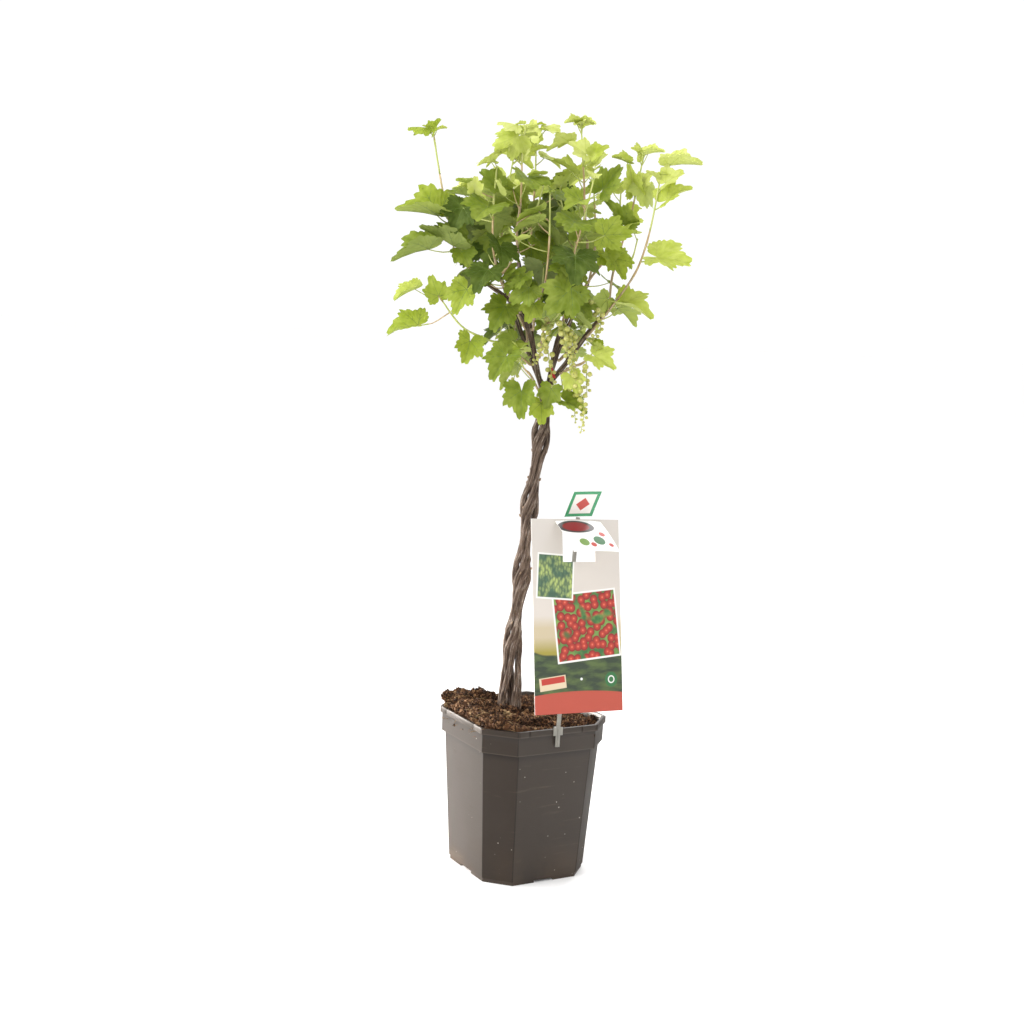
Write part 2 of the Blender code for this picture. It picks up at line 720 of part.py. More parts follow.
def keep_largest_body(mesh):
    """Drops each body but the largest, and so every sealed hollow."""
    shape = bmesh.new()
    shape.from_mesh(mesh)
    left, bodies = set(shape.faces), []
    while left:
        body, front = [], [left.pop()]
        while front:
            face = front.pop()
            body.append(face)
            pairs = [edge.link_faces for edge in face.edges if len(edge.link_faces) == 2]
            near = {other for pair in pairs for other in pair} & left
            left -= near
            front += near
        bodies.append(body)
    bodies.sort(key=len)
    bmesh.ops.delete(shape, geom=[face for body in bodies[:-1] for face in body], context="FACES")
    bmesh.ops.triangulate(shape, faces=shape.faces)
    bmesh.ops.recalc_face_normals(shape, faces=shape.faces)
    shape.to_mesh(mesh)
    shape.free()


# Pot and mulch


def octagon(half, cut, up):
    """A square's outline with its corners cut off, anticlockwise seen from above."""
    long, short = half, half - cut
    corners = ((long, -short), (long, short), (short, long), (-short, long))
    corners += ((-long, short), (-long, -short), (-short, -long), (short, -long))
    return [Vector((x, y, up)) for x, y in corners]


def corner_cut(up, inset=0.0):
    """The corners' cut at this height, for a wall that lies this far inside the outer one."""
    return BASE_CUT + (RIM_CUT - BASE_CUT) * up / POT_HEIGHT - (2.0 - math.sqrt(2.0)) * inset


def wall_half(up):
    """The outer wall's half width below the collar."""
    share = (up - FOOT_RING_HEIGHT) / (COLLAR_FOOT - FOOT_RING_HEIGHT)
    return WALL_FOOT_HALF + (WALL_TOP_HALF - WALL_FOOT_HALF) * share


def make_pot(finish, collection, cutters):
    """The tub as one shell, with a notch under each side and slits in the lip."""
    foot = WALL_FOOT_HALF - FOOT_RING_INSET
    outer = (
        (foot, 0.0),
        (foot, FOOT_RING_HEIGHT),
        (WALL_FOOT_HALF, FOOT_RING_HEIGHT),
        (WALL_TOP_HALF, COLLAR_FOOT),
        (COLLAR_HALF, COLLAR_FOOT),
        (COLLAR_TOP_HALF, POT_HEIGHT - LIP_HEIGHT),
        (RIM_HALF, POT_HEIGHT - LIP_HEIGHT),
        (RIM_HALF, POT_HEIGHT),
    )
    inner = (
        (RIM_HALF - LIP_WALL, POT_HEIGHT),
        (COLLAR_HALF - WALL, COLLAR_FOOT + COLLAR_STEP),
        (wall_half(COLLAR_FOOT - WALL) - WALL, COLLAR_FOOT - WALL),
        (wall_half(FLOOR) - WALL, FLOOR),
    )
    rings = [octagon(half, corner_cut(up), up) for half, up in outer]
    rings += [octagon(half, corner_cut(up, WALL), up) for half, up in inner]
    pot = add_object("pot", mesh_of("pot", stack(rings)), finish, collection)
    for side in range(4):
        turn = Matrix.Rotation(math.radians(90.0 * side), 4, "Z")
        place = turn @ Matrix.Translation((0.0, -WALL_FOOT_HALF, -NOTCH_DROP - NOTCH_SIZE[2] / 2))
        add_cutter(pot, box_object(f"notch_{side}", NOTCH_SIZE, place, None, cutters))
        for k, right in enumerate(SLIT_PLACES):
            place = turn @ Matrix.Translation((right, -RIM_HALF, POT_HEIGHT - LIP_HEIGHT))
            add_cutter(pot, box_object(f"slit_{side}_{k}", SLIT_SIZE, place, None, cutters))
    return pot


def mulch_height(x, y, rng):
    """The mulch's top: heaped at the front view's left, low at its right and back, level at the stems."""
    turn_cos, turn_sin = math.cos(FRONT_TURN), math.sin(FRONT_TURN)
    right, away = x * turn_cos - y * turn_sin, x * turn_sin + y * turn_cos
    slope = (right * SOIL_SLOPE[0] + away * SOIL_SLOPE[1]) / SLOPE_LENGTH
    heap = HEAP_RISE * smooth(slope) - HEAP_FALL * smooth(-slope)
    apart = math.hypot(right - LEVEL_MIDDLE[0], away - LEVEL_MIDDLE[1])
    blend = smooth((apart - LEVEL_RADIUS) / LEVEL_BLEND)
    return SOIL_AT_STEMS + (heap + rng.uniform(-LUMP, LUMP)) * blend


def make_mulch(finish, collection, cutters):
    """The pot's filling, clear of its walls, with a lumpy top and a pocket for the clip."""
    rng = random.Random(11)

    def outline(half, up):
        corners = octagon(half - SOIL_CLEAR, corner_cut(up, WALL + SOIL_CLEAR), up)
        steps = [k / SOIL_POINTS_PER_SIDE for k in range(SOIL_POINTS_PER_SIDE)]
        return [a.lerp(b, step) for a, b in zip(corners, corners[1:] + corners[:1]) for step in steps]

    wall_end = COLLAR_FOOT - WALL
    rings = [
        outline(wall_half(FLOOR) - WALL, FLOOR + GAP),
        outline(wall_half(wall_end) - WALL, wall_end),
        outline(wall_half(wall_end) - WALL, COLLAR_FOOT + 2 * COLLAR_STEP),
        outline(COLLAR_HALF - WALL, SOIL_AT_STEMS - HEAP_FALL - LUMP),
    ]
    middle = from_front((*LEVEL_MIDDLE, 0.0))
    for scale in SOIL_RINGS:
        places = [middle.lerp(point, scale) for point in rings[3]]
        rings.append([Vector((place.x, place.y, mulch_height(place.x, place.y, rng))) for place in places])
    mulch = add_object("mulch", mesh_of("mulch", stack(rings)), finish, collection)
    size = (CLIP_WIDTH + 4 * GAP, CLIP_THICK + POCKET_DEPTH, POT_HEIGHT)
    away = clip_inner_side() - size[1] / 2 + 2 * GAP
    place = Matrix.Translation((CLIP_MIDDLE, away, CLIP_INNER_FOOT - 2 * GAP))
    add_cutter(mulch, box_object("clip_pocket", size, place, None, cutters))
    return mulch


def make_limb(name, path, radii, finish, collection):
    """A tapering limb as a curve with filled caps."""
    curve = bpy.data.curves.new(name, "CURVE")
    curve.dimensions = "3D"
    curve.bevel_depth = 1.0
    curve.bevel_resolution = 1
    curve.use_fill_caps = True
    spline = curve.splines.new("POLY")
    spline.points.add(len(path) - 1)
    for point, place, radius in zip(spline.points, path, radii):
        point.co = (*place, 1.0)
        point.radius = radius
    return add_object(name, curve, finish, collection)


# Label


def clip_inner_side():
    """How far along Y the clip's inner leg reaches into the pot."""
    return -COLLAR_HALF + WALL + GAP + CLIP_THICK


def make_clip(finish, collection):
    """A bent strip over the lip, as an outline in the YZ plane."""
    outer = -RIM_HALF - GAP - CLIP_THICK
    inner = clip_inner_side()
    top = POT_HEIGHT + GAP + CLIP_THICK
    outline = (
        (outer, CLIP_FOOT),
        (outer + CLIP_THICK, CLIP_FOOT),
        (outer + CLIP_THICK, top - CLIP_THICK),
        (inner - CLIP_THICK, top - CLIP_THICK),
        (inner - CLIP_THICK, CLIP_INNER_FOOT),
        (inner, CLIP_INNER_FOOT),
        (inner, top),
        (outer, top),
    )
    stand = Matrix(((0, 0, 1, CLIP_MIDDLE), (1, 0, 0, 0), (0, 1, 0, 0), (0, 0, 0, 1)))
    outline_object("label_clip", outline, CLIP_WIDTH, stand, finish, collection)


def make_label(finishes, collection, cutters):
    """The card with its cut-out and flap, the stake behind it, the stake's sign, and the clip on the lip."""
    back = Matrix.Rotation(LEAN_BACK, 4, "X")
    stand = Matrix.Translation(CARD_FOOT) @ back @ Matrix.Rotation(CARD_TURN, 4, "Y")
    card = box_object("label_card", CARD_SIZE, stand, finishes["card"], collection)
    window = stand @ Matrix.Translation((WINDOW_PLACE[0], 0.0, WINDOW_PLACE[1]))
    add_cutter(card, box_object("window", WINDOW_SIZE, window, None, cutters))
    hinge = stand @ Matrix.Translation((FLAP_HINGE[0], -CARD_SIZE[1] - GAP, FLAP_HINGE[1]))
    flap = hinge @ Matrix.Rotation(FLAP_TILT, 4, "X") @ Matrix.Translation((0.0, 0.0, -FLAP_SIZE[2]))
    box_object("label_flap", FLAP_SIZE, flap, finishes["card"], collection)

    foot_up = POT_HEIGHT + GAP + CLIP_THICK + STAKE_RISE
    behind = (CARD_SIZE[1] / 2 + GAP + STAKE_SIZE[1] / 2) / math.cos(LEAN_BACK)
    foot_away = CARD_FOOT[1] + behind + (foot_up - CARD_FOOT[2]) * math.tan(-LEAN_BACK)
    stake = Matrix.Translation((CLIP_MIDDLE, foot_away, foot_up)) @ back
    stake = stake @ Matrix.Rotation(STAKE_TURN, 4, "Y")
    box_object("label_stake", STAKE_SIZE, stake, finishes["stake"], collection)
    top = stake @ Vector((0.0, 0.0, STAKE_SIZE[2]))
    sign = Matrix.Translation(top + Vector((0.0, 0.0, SIGN_RISE))) @ Matrix.Rotation(SIGN_TILT, 4, "X")
    box_object("label_sign", SIGN_SIZE, sign, finishes["card"], collection)
    make_clip(finishes["stake"], collection)


def make_marker(finish, collection):
    """The small three-cornered tag that hangs in front of the low right bough."""
    stand = Matrix.Translation(from_front(MARKER_PLACE)) @ Matrix.Rotation(-FRONT_TURN, 4, "Z")
    stand = stand @ Matrix.Rotation(math.radians(90.0), 4, "X")
    outline_object("marker_tag", MARKER_OUTLINE, MARKER_THICK, stand, finish, collection)


def make_crown(limbs, boughs, finish, collection):
    """Every mass of leaves, twigs and fruit, each fused into one body."""
    crown = Crown(limbs)
    mains = [crown.start(shoot, boughs) for shoot in SHOOTS]
    rngs = [random.Random(seed + 1) for seed in range(len(SHOOTS))]
    for grow in (crown.hang_fruit, crown.fill):
        for shoot, path, rng in zip(SHOOTS, mains, rngs):
            grow(shoot, path, rng)
    for name, mass in crown.masses.items():
        shapes = [tube(path, radii, 3) for path, radii in mass["twigs"]]
        for place, joint, ahead, up, length, _ in mass["leaves"]:
            shapes.append(leaf_plate(place, joint, ahead, up, length, BLADE_THICK, STALK_HALF))
        for stalk, balls in mass["strings"]:
            shapes.append(tube(stalk, [STRING_RADIUS] * len(stalk), 3))
            shapes += [berry(centre, radius) for centre, radius in balls]
        fuse(name, shapes, finish, collection)


def main():
    for obj in list(bpy.data.objects):
        bpy.data.objects.remove(obj)
    collection = bpy.data.collections.new("red_currant_standard")
    cutters = bpy.data.collections.new("cutters")
    for made in (collection, cutters):
        bpy.context.scene.collection.children.link(made)
    finishes = {
        "pot": material("pot_plastic", (0.085, 0.072, 0.062), 0.42),
        "mulch": material("bark_mulch", (0.16, 0.085, 0.04), 0.95),
        "bark": material("bark", (0.15, 0.105, 0.08), 0.85),
        "foliage": material("foliage", (0.23, 0.38, 0.04), 0.55),
        "card": material("label_card", (0.80, 0.77, 0.72), 0.45),
        "stake": material("label_stake", (0.36, 0.35, 0.30), 0.30),
        "marker": material("marker_tag", (0.62, 0.02, 0.03), 0.40),
    }
    make_pot(finishes["pot"], collection, cutters)
    make_mulch(finishes["mulch"], collection, cutters)
    make_label(finishes, collection, cutters)

    stems = stem_paths()
    limbs = []
    for k, path in enumerate(stems):
        radii = taper(len(path), STEM_FOOT_RADIUS, STEM_TOP_RADIUS)
        make_limb(f"stem_{k + 1}", path, radii, finishes["bark"], collection)
        limbs.append((path, radii))
    boughs = {}
    for name, path in bough_paths(stems).items():
        radii = taper(len(path), STEM_TOP_RADIUS, BOUGH_TIP_RADIUS)
        make_limb(name, path, radii, finishes["bark"], collection)
        boughs[name] = (path, radii)
        limbs.append((path, radii))
    make_marker(finishes["marker"], collection)
    make_crown(limbs, boughs, finishes["foliage"], collection)


if __name__ == "__main__":
    main()
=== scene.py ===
"""The looks of a potted red currant standard: bark, leaves, fruit, mulch, pot and plant label.

The plant is laid out in its own front view, (right, away, up) in metres, which looks at the pot from between
its -X and -Y sides. The leaves, twigs and fruit grow by the same seeded rule as the part's solids.
"""

import itertools
import json
import logging
import math
import random
from collections.abc import Callable, Iterable, Iterator, Mapping, Sequence
from dataclasses import dataclass, field, replace
from enum import Enum
from typing import Any

import bmesh
import bpy
import numpy as np
from mathutils import Matrix, Vector, noise
from mathutils.bvhtree import BVHTree

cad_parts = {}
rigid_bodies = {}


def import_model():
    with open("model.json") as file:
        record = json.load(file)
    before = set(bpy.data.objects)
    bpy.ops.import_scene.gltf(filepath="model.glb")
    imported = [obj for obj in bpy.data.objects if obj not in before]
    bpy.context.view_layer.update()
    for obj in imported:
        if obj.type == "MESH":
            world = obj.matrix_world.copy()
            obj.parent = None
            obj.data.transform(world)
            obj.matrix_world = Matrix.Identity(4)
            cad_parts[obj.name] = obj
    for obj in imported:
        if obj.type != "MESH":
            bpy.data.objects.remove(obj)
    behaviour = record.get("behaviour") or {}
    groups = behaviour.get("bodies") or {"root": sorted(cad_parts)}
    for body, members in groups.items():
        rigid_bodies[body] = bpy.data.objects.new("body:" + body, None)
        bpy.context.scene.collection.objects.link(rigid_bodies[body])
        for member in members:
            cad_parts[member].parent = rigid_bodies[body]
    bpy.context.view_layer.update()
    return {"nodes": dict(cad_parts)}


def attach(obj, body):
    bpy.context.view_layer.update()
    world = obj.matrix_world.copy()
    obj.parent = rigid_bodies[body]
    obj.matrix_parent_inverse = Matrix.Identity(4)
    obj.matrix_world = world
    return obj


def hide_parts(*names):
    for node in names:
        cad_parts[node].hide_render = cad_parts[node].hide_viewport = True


LOG = logging.getLogger("red_currant")

GAP = 0.0003
FRONT_TURN = math.radians(29.4)
UP = Vector((0.0, 0.0, 1.0))

Colour = tuple[float, float, float]
Shape = tuple[list[Vector], list[tuple[int, ...]]]


def from_front(point: Sequence[float]) -> Vector:
    """Turn a point of the front view into the part's frame.

    Args:
        point: The front view's (right, away, up) in metres.

    Returns:
        The same point as X, Y, Z.
    """
    right, away, up = point
    turn_cos, turn_sin = math.cos(FRONT_TURN), math.sin(FRONT_TURN)
    return Vector((right * turn_cos + away * turn_sin, away * turn_cos - right * turn_sin, up))


def to_front(point: Vector) -> Vector:
    """Turn a point of the part's frame into the front view's (right, away, up)."""
    turn_cos, turn_sin = math.cos(FRONT_TURN), math.sin(FRONT_TURN)
    return Vector((point.x * turn_cos - point.y * turn_sin, point.x * turn_sin + point.y * turn_cos, point.z))


def smooth(value: float) -> float:
    """Return a step from 0 to 1 with soft ends."""
    value = min(1.0, max(0.0, value))
    return value * value * (3.0 - 2.0 * value)


def taper(count: int, root: float, tip: float) -> list[float]:
    """Return this many radii from the root's to the tip's."""
    return [root + (tip - root) * k / (count - 1) for k in range(count)]


# Material maths


def worked_by(operation: str) -> Callable[..., "Level"]:
    """Return a method that works out its level, with any others, by this Math operation."""

    def worked(level: "Level", *others: "Level | float") -> "Level":
        """Return the result."""
        return level.join(operation, level, *others)

    return worked


class Level:
    """One number in a material. An expression on it adds the nodes that work it out.

    The method heading takes the way right and this level as the way up, and gives the angle in radians.
    """

    def __init__(self, maker: "Maker", socket: bpy.types.NodeSocket) -> None:
        """Hold the socket that the number comes from."""
        self.maker = maker
        self.socket = socket

    def join(self, operation: str, *values: "Level | float", clamp: bool = False) -> "Level":
        """Return the result of a Math node on these values, kept from 0 to 1 where clamp is set."""
        settings = {"operation": operation, "use_clamp": clamp}
        made = self.maker.node("ShaderNodeMath", settings, dict(enumerate(values)))
        return Level(self.maker, made.outputs[0])

    __add__ = __radd__ = worked_by("ADD")
    __sub__ = worked_by("SUBTRACT")
    __mul__ = worked_by("MULTIPLY")
    __abs__ = worked_by("ABSOLUTE")
    sine = worked_by("SINE")
    heading = worked_by("ARCTAN2")
    most = worked_by("MAXIMUM")
    part = worked_by("FRACT")

    def __rsub__(self, other: float) -> "Level":
        """Return a number less this level."""
        return self.join("SUBTRACT", other, self)

    def rise(self, low: float, high: float) -> "Level":
        """Return 0 at low and 1 at high, straight between and level beyond."""
        return self.join("DIVIDE", self - low, high - low, clamp=True)


class Maker:
    """Builds one material. Every node comes from its method node."""

    def __init__(self, name: str) -> None:
        """Start an empty material of this name."""
        self.material = bpy.data.materials.new(name)
        self.material.use_nodes = True
        self.nodes = self.material.node_tree.nodes
        self.links = self.material.node_tree.links
        self.nodes.clear()

    def node(self, kind: str, settings: dict | None = None, inputs: dict | None = None) -> bpy.types.Node:
        """Add one node, its settings first and then its sockets.

        Args:
            kind: The node's type.
            settings: Its own settings by name.
            inputs: A number, colour, vector, level or socket for each socket by name or index.

        Returns:
            The new node.
        """
        made = self.nodes.new(kind)
        for name, value in (settings or {}).items():
            setattr(made, name, value)
        for name, value in (inputs or {}).items():
            socket = made.inputs[name]
            value = value.socket if isinstance(value, Level) else value
            if isinstance(value, bpy.types.NodeSocket):
                self.links.new(value, socket)
            elif socket.type == "RGBA":
                socket.default_value = (*value, 1.0)
            else:
                socket.default_value = value
        return made

    def coordinates(self) -> bpy.types.NodeSocket:
        """Return the Object coordinates."""
        return self.node("ShaderNodeTexCoord").outputs["Object"]

    def uv(self, name: str) -> bpy.types.NodeSocket:
        """Return the piece's own UV map of this name."""
        return self.node("ShaderNodeUVMap", {"uv_map": name}).outputs[0]

    def mapped(self, vector: Any, scale: tuple = (1, 1, 1), turn: tuple = (0, 0, 0)) -> bpy.types.NodeSocket:
        """Return the vector scaled and turned by a Mapping node."""
        return self.node("ShaderNodeMapping", {}, {0: vector, 2: turn, 3: scale}).outputs[0]

    def axes(self, vector: bpy.types.NodeSocket) -> tuple[Level, Level, Level]:
        """Return a vector's three numbers."""
        split = self.node("ShaderNodeSeparateXYZ", {}, {0: vector})
        return tuple(Level(self, output) for output in split.outputs)

    def noise(self, vector: Any, scale: float, detail: float = 3.0, rough: float = 0.5) -> Level:
        """Return a noise from about 0.2 to 0.8."""
        inputs = {"Vector": vector, "Scale": scale, "Detail": detail, "Roughness": rough}
        return Level(self, self.node("ShaderNodeTexNoise", {}, inputs).outputs[0])

    def cells(self, vector: Any, scale: float, loose: float = 1.0, flat: bool = False) -> Level:
        """Return the distance to the nearest of many scattered points, in the vector's plane where flat."""
        settings = {"voronoi_dimensions": "2D" if flat else "3D"}
        inputs = {"Vector": vector, "Scale": scale, "Randomness": loose}
        return Level(self, self.node("ShaderNodeTexVoronoi", settings, inputs).outputs[0])

    def mix(self, share: Any, first: Any, second: Any) -> bpy.types.NodeSocket:
        """Return the first colour where share is 0 and the second where it is 1."""
        settings = {"data_type": "RGBA", "clamp_factor": True}
        return self.node("ShaderNodeMix", settings, {0: share, 6: first, 7: second}).outputs[2]

    def bump(self, height: Level, depth: float, strength: float = 1.0) -> bpy.types.NodeSocket:
        """Return the normal of a surface that this height, from 0 to 1, lifts by up to depth."""
        inputs = {"Strength": strength, "Distance": depth, "Height": height}
        return self.node("ShaderNodeBump", {}, inputs).outputs[0]

    def _principled(self, sockets: dict) -> bpy.types.NodeSocket:
        """Return a Principled shader with these values by socket, where _ stands for a space."""
        named = {name.replace("_", " "): value for name, value in sockets.items()}
        return self.node("ShaderNodeBsdfPrincipled", {}, named).outputs[0]

    def _output(self, shader: bpy.types.NodeSocket) -> bpy.types.Material:
        """Return the material with this shader as its surface."""
        self.node("ShaderNodeOutputMaterial", {}, {0: shader})
        return self.material

    def surface(self, **sockets: Any) -> bpy.types.Material:
        """Return the material, finished with one Principled shader with these sockets."""
        return self._output(self._principled(sockets))

    def leafy(self, through: float, glow: Colour, **sockets: Any) -> bpy.types.Material:
        """Return the material, finished with a Principled shader that lets this share of light through."""
        passing = self.node("ShaderNodeBsdfTranslucent", {}, {"Color": glow}).outputs[0]
        inputs = {0: through, 1: self._principled(sockets), 2: passing}
        return self._output(self.node("ShaderNodeMixShader", {}, inputs).outputs[0])


# Finishes


@dataclass(frozen=True)
class PotPlastic:
    """Dark warm grey moulded plastic with painted shade on its corners, scuffs, specks and a dusty foot.

    Attributes:
        half: The wall's half width at the ground, and how much it grows with each metre up.
        cut: The same of the cut corner's reach.
        collar: The heights between which the collar's foot juts out, and how far.
        shadows: Bands of shade: the heights where each fades in and out, and its strength.
        ridges: Painted highlight lines at the edges of the lip and the collar's foot: the heights where each
            fades in and out.
    """

    body: Colour = (0.0288, 0.0203, 0.0142)
    shaded: Colour = (0.019, 0.0115, 0.0070)
    # the colour of worn scuffs, and of the painted highlight lines
    wear_and_highlight: Colour = (0.095, 0.075, 0.058)
    dusty: Colour = (0.070, 0.047, 0.030)
    # the dark of the painted shade and painted shadow
    painted_shade: Colour = (0.007, 0.005, 0.004)
    speck: Colour = (0.42, 0.38, 0.33)
    rough: float = 0.42
    dust_top: float = 0.055
    half: tuple = (0.0777, 0.0624)
    cut: tuple = (0.0292, 0.0262)
    collar: tuple = (0.1800, 0.1803, 0.0030)
    shadows: tuple = (((0.1700, 0.1800), (0.1803, 0.1802), 0.65), ((0.1985, 0.2050), (0.2054, 0.2053), 0.45))
    ridges: tuple = (((0.1802, 0.1804), (0.1820, 0.1812)), ((0.2053, 0.2055), (0.2074, 0.2064)))

    def make(self) -> bpy.types.Material:
        """Return the material."""
        maker = Maker("pot_plastic")
        place = maker.coordinates()
        right, away, up = maker.axes(place)
        cloud = maker.noise(place, 14.0, 4.0)
        scratches = maker.noise(maker.mapped(place, (22.0, 22.0, 260.0), (0.2, 0.1, 0.0)), 1.0, 5.0)
        dust = up.rise(self.dust_top, 0.0) * cloud.rise(0.40, 0.62)
        scuff = scratches.rise(0.60, 0.70) * cloud.rise(0.48, 0.60)
        specks = maker.cells(place, 95.0).rise(0.10, 0.06) * cloud.rise(0.50, 0.60)
        wide, deep = abs(right), abs(away)
        half = up * self.half[1] + self.half[0] + up.rise(*self.collar[:2]) * self.collar[2]
        cut = up * self.cut[1] + self.cut[0]
        off_corner = half * 2.0 - cut - wide - deep
        # painted shade: a dark line along both edges of each cut corner
        edge_shade = abs(abs(wide - deep) - cut).rise(0.0012, 0.0002) * off_corner.rise(0.0030, 0.0016)
        corner = off_corner.rise(0.0016, 0.0004)
        colour = maker.mix(dust * 0.8, self.body, self.dusty)
        # painted shade: the cut corner faces are darkened
        colour = maker.mix(corner * 0.45, colour, self.shaded)
        # painted shadow under the lip and under the collar's foot
        shade = sum(up.rise(*low) * up.rise(*high) * strength for low, high, strength in self.shadows)
        # painted highlight lines at the edges of the lip and the collar's foot
        ridge = sum(up.rise(*low) * up.rise(*high) for low, high in self.ridges)
        for share, tint in (
            (shade, self.painted_shade),
            (edge_shade * 0.7, self.painted_shade),
            (ridge * 0.30, self.wear_and_highlight),
            (scuff * 0.35, self.wear_and_highlight),
            (specks * 0.8, self.speck),
        ):
            colour = maker.mix(share, colour, tint)
        grain = maker.noise(place, 900.0, 2.0)
        return maker.surface(
            Base_Color=colour,
            Roughness=self.rough + cloud * 0.10 + scuff * 0.18 + dust * 0.15 + corner * 0.25,
            Normal=maker.bump(grain * 0.4 + scratches, 0.00012, 0.6),
            Specular_IOR_Level=0.32,
        )


@dataclass(frozen=True)
class MulchStuff:
    """Bark mulch and coir: one colour of crumb, chip or fibre."""

    name: str
    dark: Colour
    light: Colour
    grain: float = 420.0

    def make(self) -> bpy.types.Material:
        """Return the material."""
        maker = Maker(self.name)
        place = maker.coordinates()
        broad = maker.noise(place, 160.0, 3.0)
        fine = maker.noise(place, self.grain * 2.0, 4.0, 0.7)
        colour = maker.mix((broad * 0.6 + fine * 0.4).rise(0.36, 0.66), self.dark, self.light)
        return maker.surface(
            Base_Color=colour, Roughness=0.92, Normal=maker.bump(fine, 0.0006), Specular_IOR_Level=0.2
        )


@dataclass(frozen=True)
class BarkFinish:
    """Grey-brown bark: dark between long pale ridges, along the limb's own UV map."""

    dark: Colour = (0.024, 0.014, 0.009)
    middle: Colour = (0.112, 0.077, 0.056)
    pale: Colour = (0.54, 0.46, 0.39)

    def make(self) -> bpy.types.Material:
        """Return the material."""
        maker = Maker("bark")
        limb = maker.uv("limb")
        place = maker.coordinates()
        ridges = maker.noise(maker.mapped(limb, (9.0, 42.0, 1.0)), 1.0, 5.0, 0.62)
        threads = maker.noise(maker.mapped(limb, (34.0, 120.0, 1.0)), 1.0, 4.0, 0.7)
        blotches = maker.noise(place, 60.0, 3.0)
        crumbs = maker.noise(place, 800.0, 3.0, 0.7)
        shade = ridges * 0.62 + threads * 0.26 + crumbs * 0.12
        colour = maker.mix(shade.rise(0.40, 0.52), self.dark, self.middle)
        colour = maker.mix(shade.rise(0.52, 0.64) * blotches.rise(0.30, 0.62), colour, self.pale)
        return maker.surface(
            Base_Color=colour,
            Roughness=0.82,
            Normal=maker.bump(shade, 0.0012, 0.9),
            Specular_IOR_Level=0.25,
        )


@dataclass(frozen=True)
class ShootFinish:
    """The skin of a young shoot or a leaf's stalk."""

    name: str
    colour: Colour
    streak: Colour

    def make(self) -> bpy.types.Material:
        """Return the material."""
        maker = Maker(self.name)
        place = maker.coordinates()
        streaks = maker.noise(maker.mapped(place, (500.0, 500.0, 60.0)), 1.0, 3.0)
        return maker.surface(
            Base_Color=maker.mix(streaks.rise(0.42, 0.62), self.colour, self.streak),
            Roughness=0.5,
            Normal=maker.bump(streaks, 0.0002, 0.5),
            Specular_IOR_Level=0.4,
        )


@dataclass(frozen=True)
class LeafFinish:
    """One side of a leaf of one tone, from its age and painted light, pleated from its joint outwards."""

    name: str
    colour: Colour
    mottle: Colour
    glow: Colour
    rough: float = 0.55
    through: float = 0.36
    pleats: float = 28.8

    def make(self) -> bpy.types.Material:
        """Return the material."""
        maker = Maker(self.name)
        place = maker.coordinates()
        broad = maker.noise(place, 55.0, 3.0)
        fine = maker.noise(place, 500.0, 3.0)
        ahead, side, _ = maker.axes(maker.uv("leaf"))
        ahead, side = ahead - 0.5, side - 0.5
        reach = abs(ahead) + abs(side)
        turn = side.heading(ahead) * self.pleats + broad * 5.0 - 4.0
        pleat = (turn.sine() * 0.5 + 0.5) * reach.rise(0.05, 0.35)
        quilt = maker.cells(maker.uv("leaf"), 12.0, 0.9, flat=True)
        shade = broad * 0.85 + pleat * 0.10 + quilt * 0.30
        colour = maker.mix(shade.rise(0.40, 0.82), self.colour, self.mottle)
        return maker.leafy(
            self.through,
            self.glow,
            Base_Color=colour,
            Roughness=self.rough + fine * 0.1,
            Normal=maker.bump(pleat * 0.40 + quilt * 0.9 + fine * 0.05, 0.0011, 0.75),
            Specular_IOR_Level=0.22,
        )


@dataclass(frozen=True)
class FruitFinish:
    """The skin of an unripe fruit, with pale lines from end to end."""

    colour: Colour = (0.46, 0.47, 0.10)
    blush: Colour = (0.62, 0.60, 0.20)
    line: Colour = (0.78, 0.76, 0.42)
    glow: Colour = (0.70, 0.70, 0.16)
    through: float = 0.25
    lines: float = 8.0

    def make(self) -> bpy.types.Material:
        """Return the material."""
        maker = Maker("unripe_fruit")
        blush = maker.noise(maker.coordinates(), 90.0, 2.0)
        round_way, _, _ = maker.axes(maker.uv("fruit"))
        lines = abs((round_way * self.lines).part() - 0.5).rise(0.10, 0.02)
        colour = maker.mix(blush.rise(0.40, 0.65), self.colour, self.blush)
        return maker.leafy(
            self.through,
            self.glow,
            Base_Color=maker.mix(lines * 0.4, colour, self.line),
            Roughness=0.28,
            Specular_IOR_Level=0.45,
            Coat_Weight=0.15,
        )


@dataclass(frozen=True)
class PlainPlastic:
    """Smooth plastic of one colour, with small flow marks."""

    name: str
    colour: Colour
    rough: float = 0.3
    clear: float = 0.0

    def make(self) -> bpy.types.Material:
        """Return the material."""
        maker = Maker(self.name)
        place = maker.coordinates()
        flow = maker.noise(maker.mapped(place, (60.0, 60.0, 25.0)), 1.0, 3.0)
        darker = tuple(value * 0.72 for value in self.colour)
        return maker.surface(
            Base_Color=maker.mix(flow.rise(0.35, 0.65), self.colour, darker),
            Roughness=self.rough + flow * 0.12,
            Normal=maker.bump(flow, 0.0002, 0.4),
            Transmission_Weight=self.clear,
        )


class Print(Enum):
    """Which printed side a piece of the label shows."""

    CARD = "card"
    FLAP = "flap"
    SIGN = "sign"
    BACK = "back"


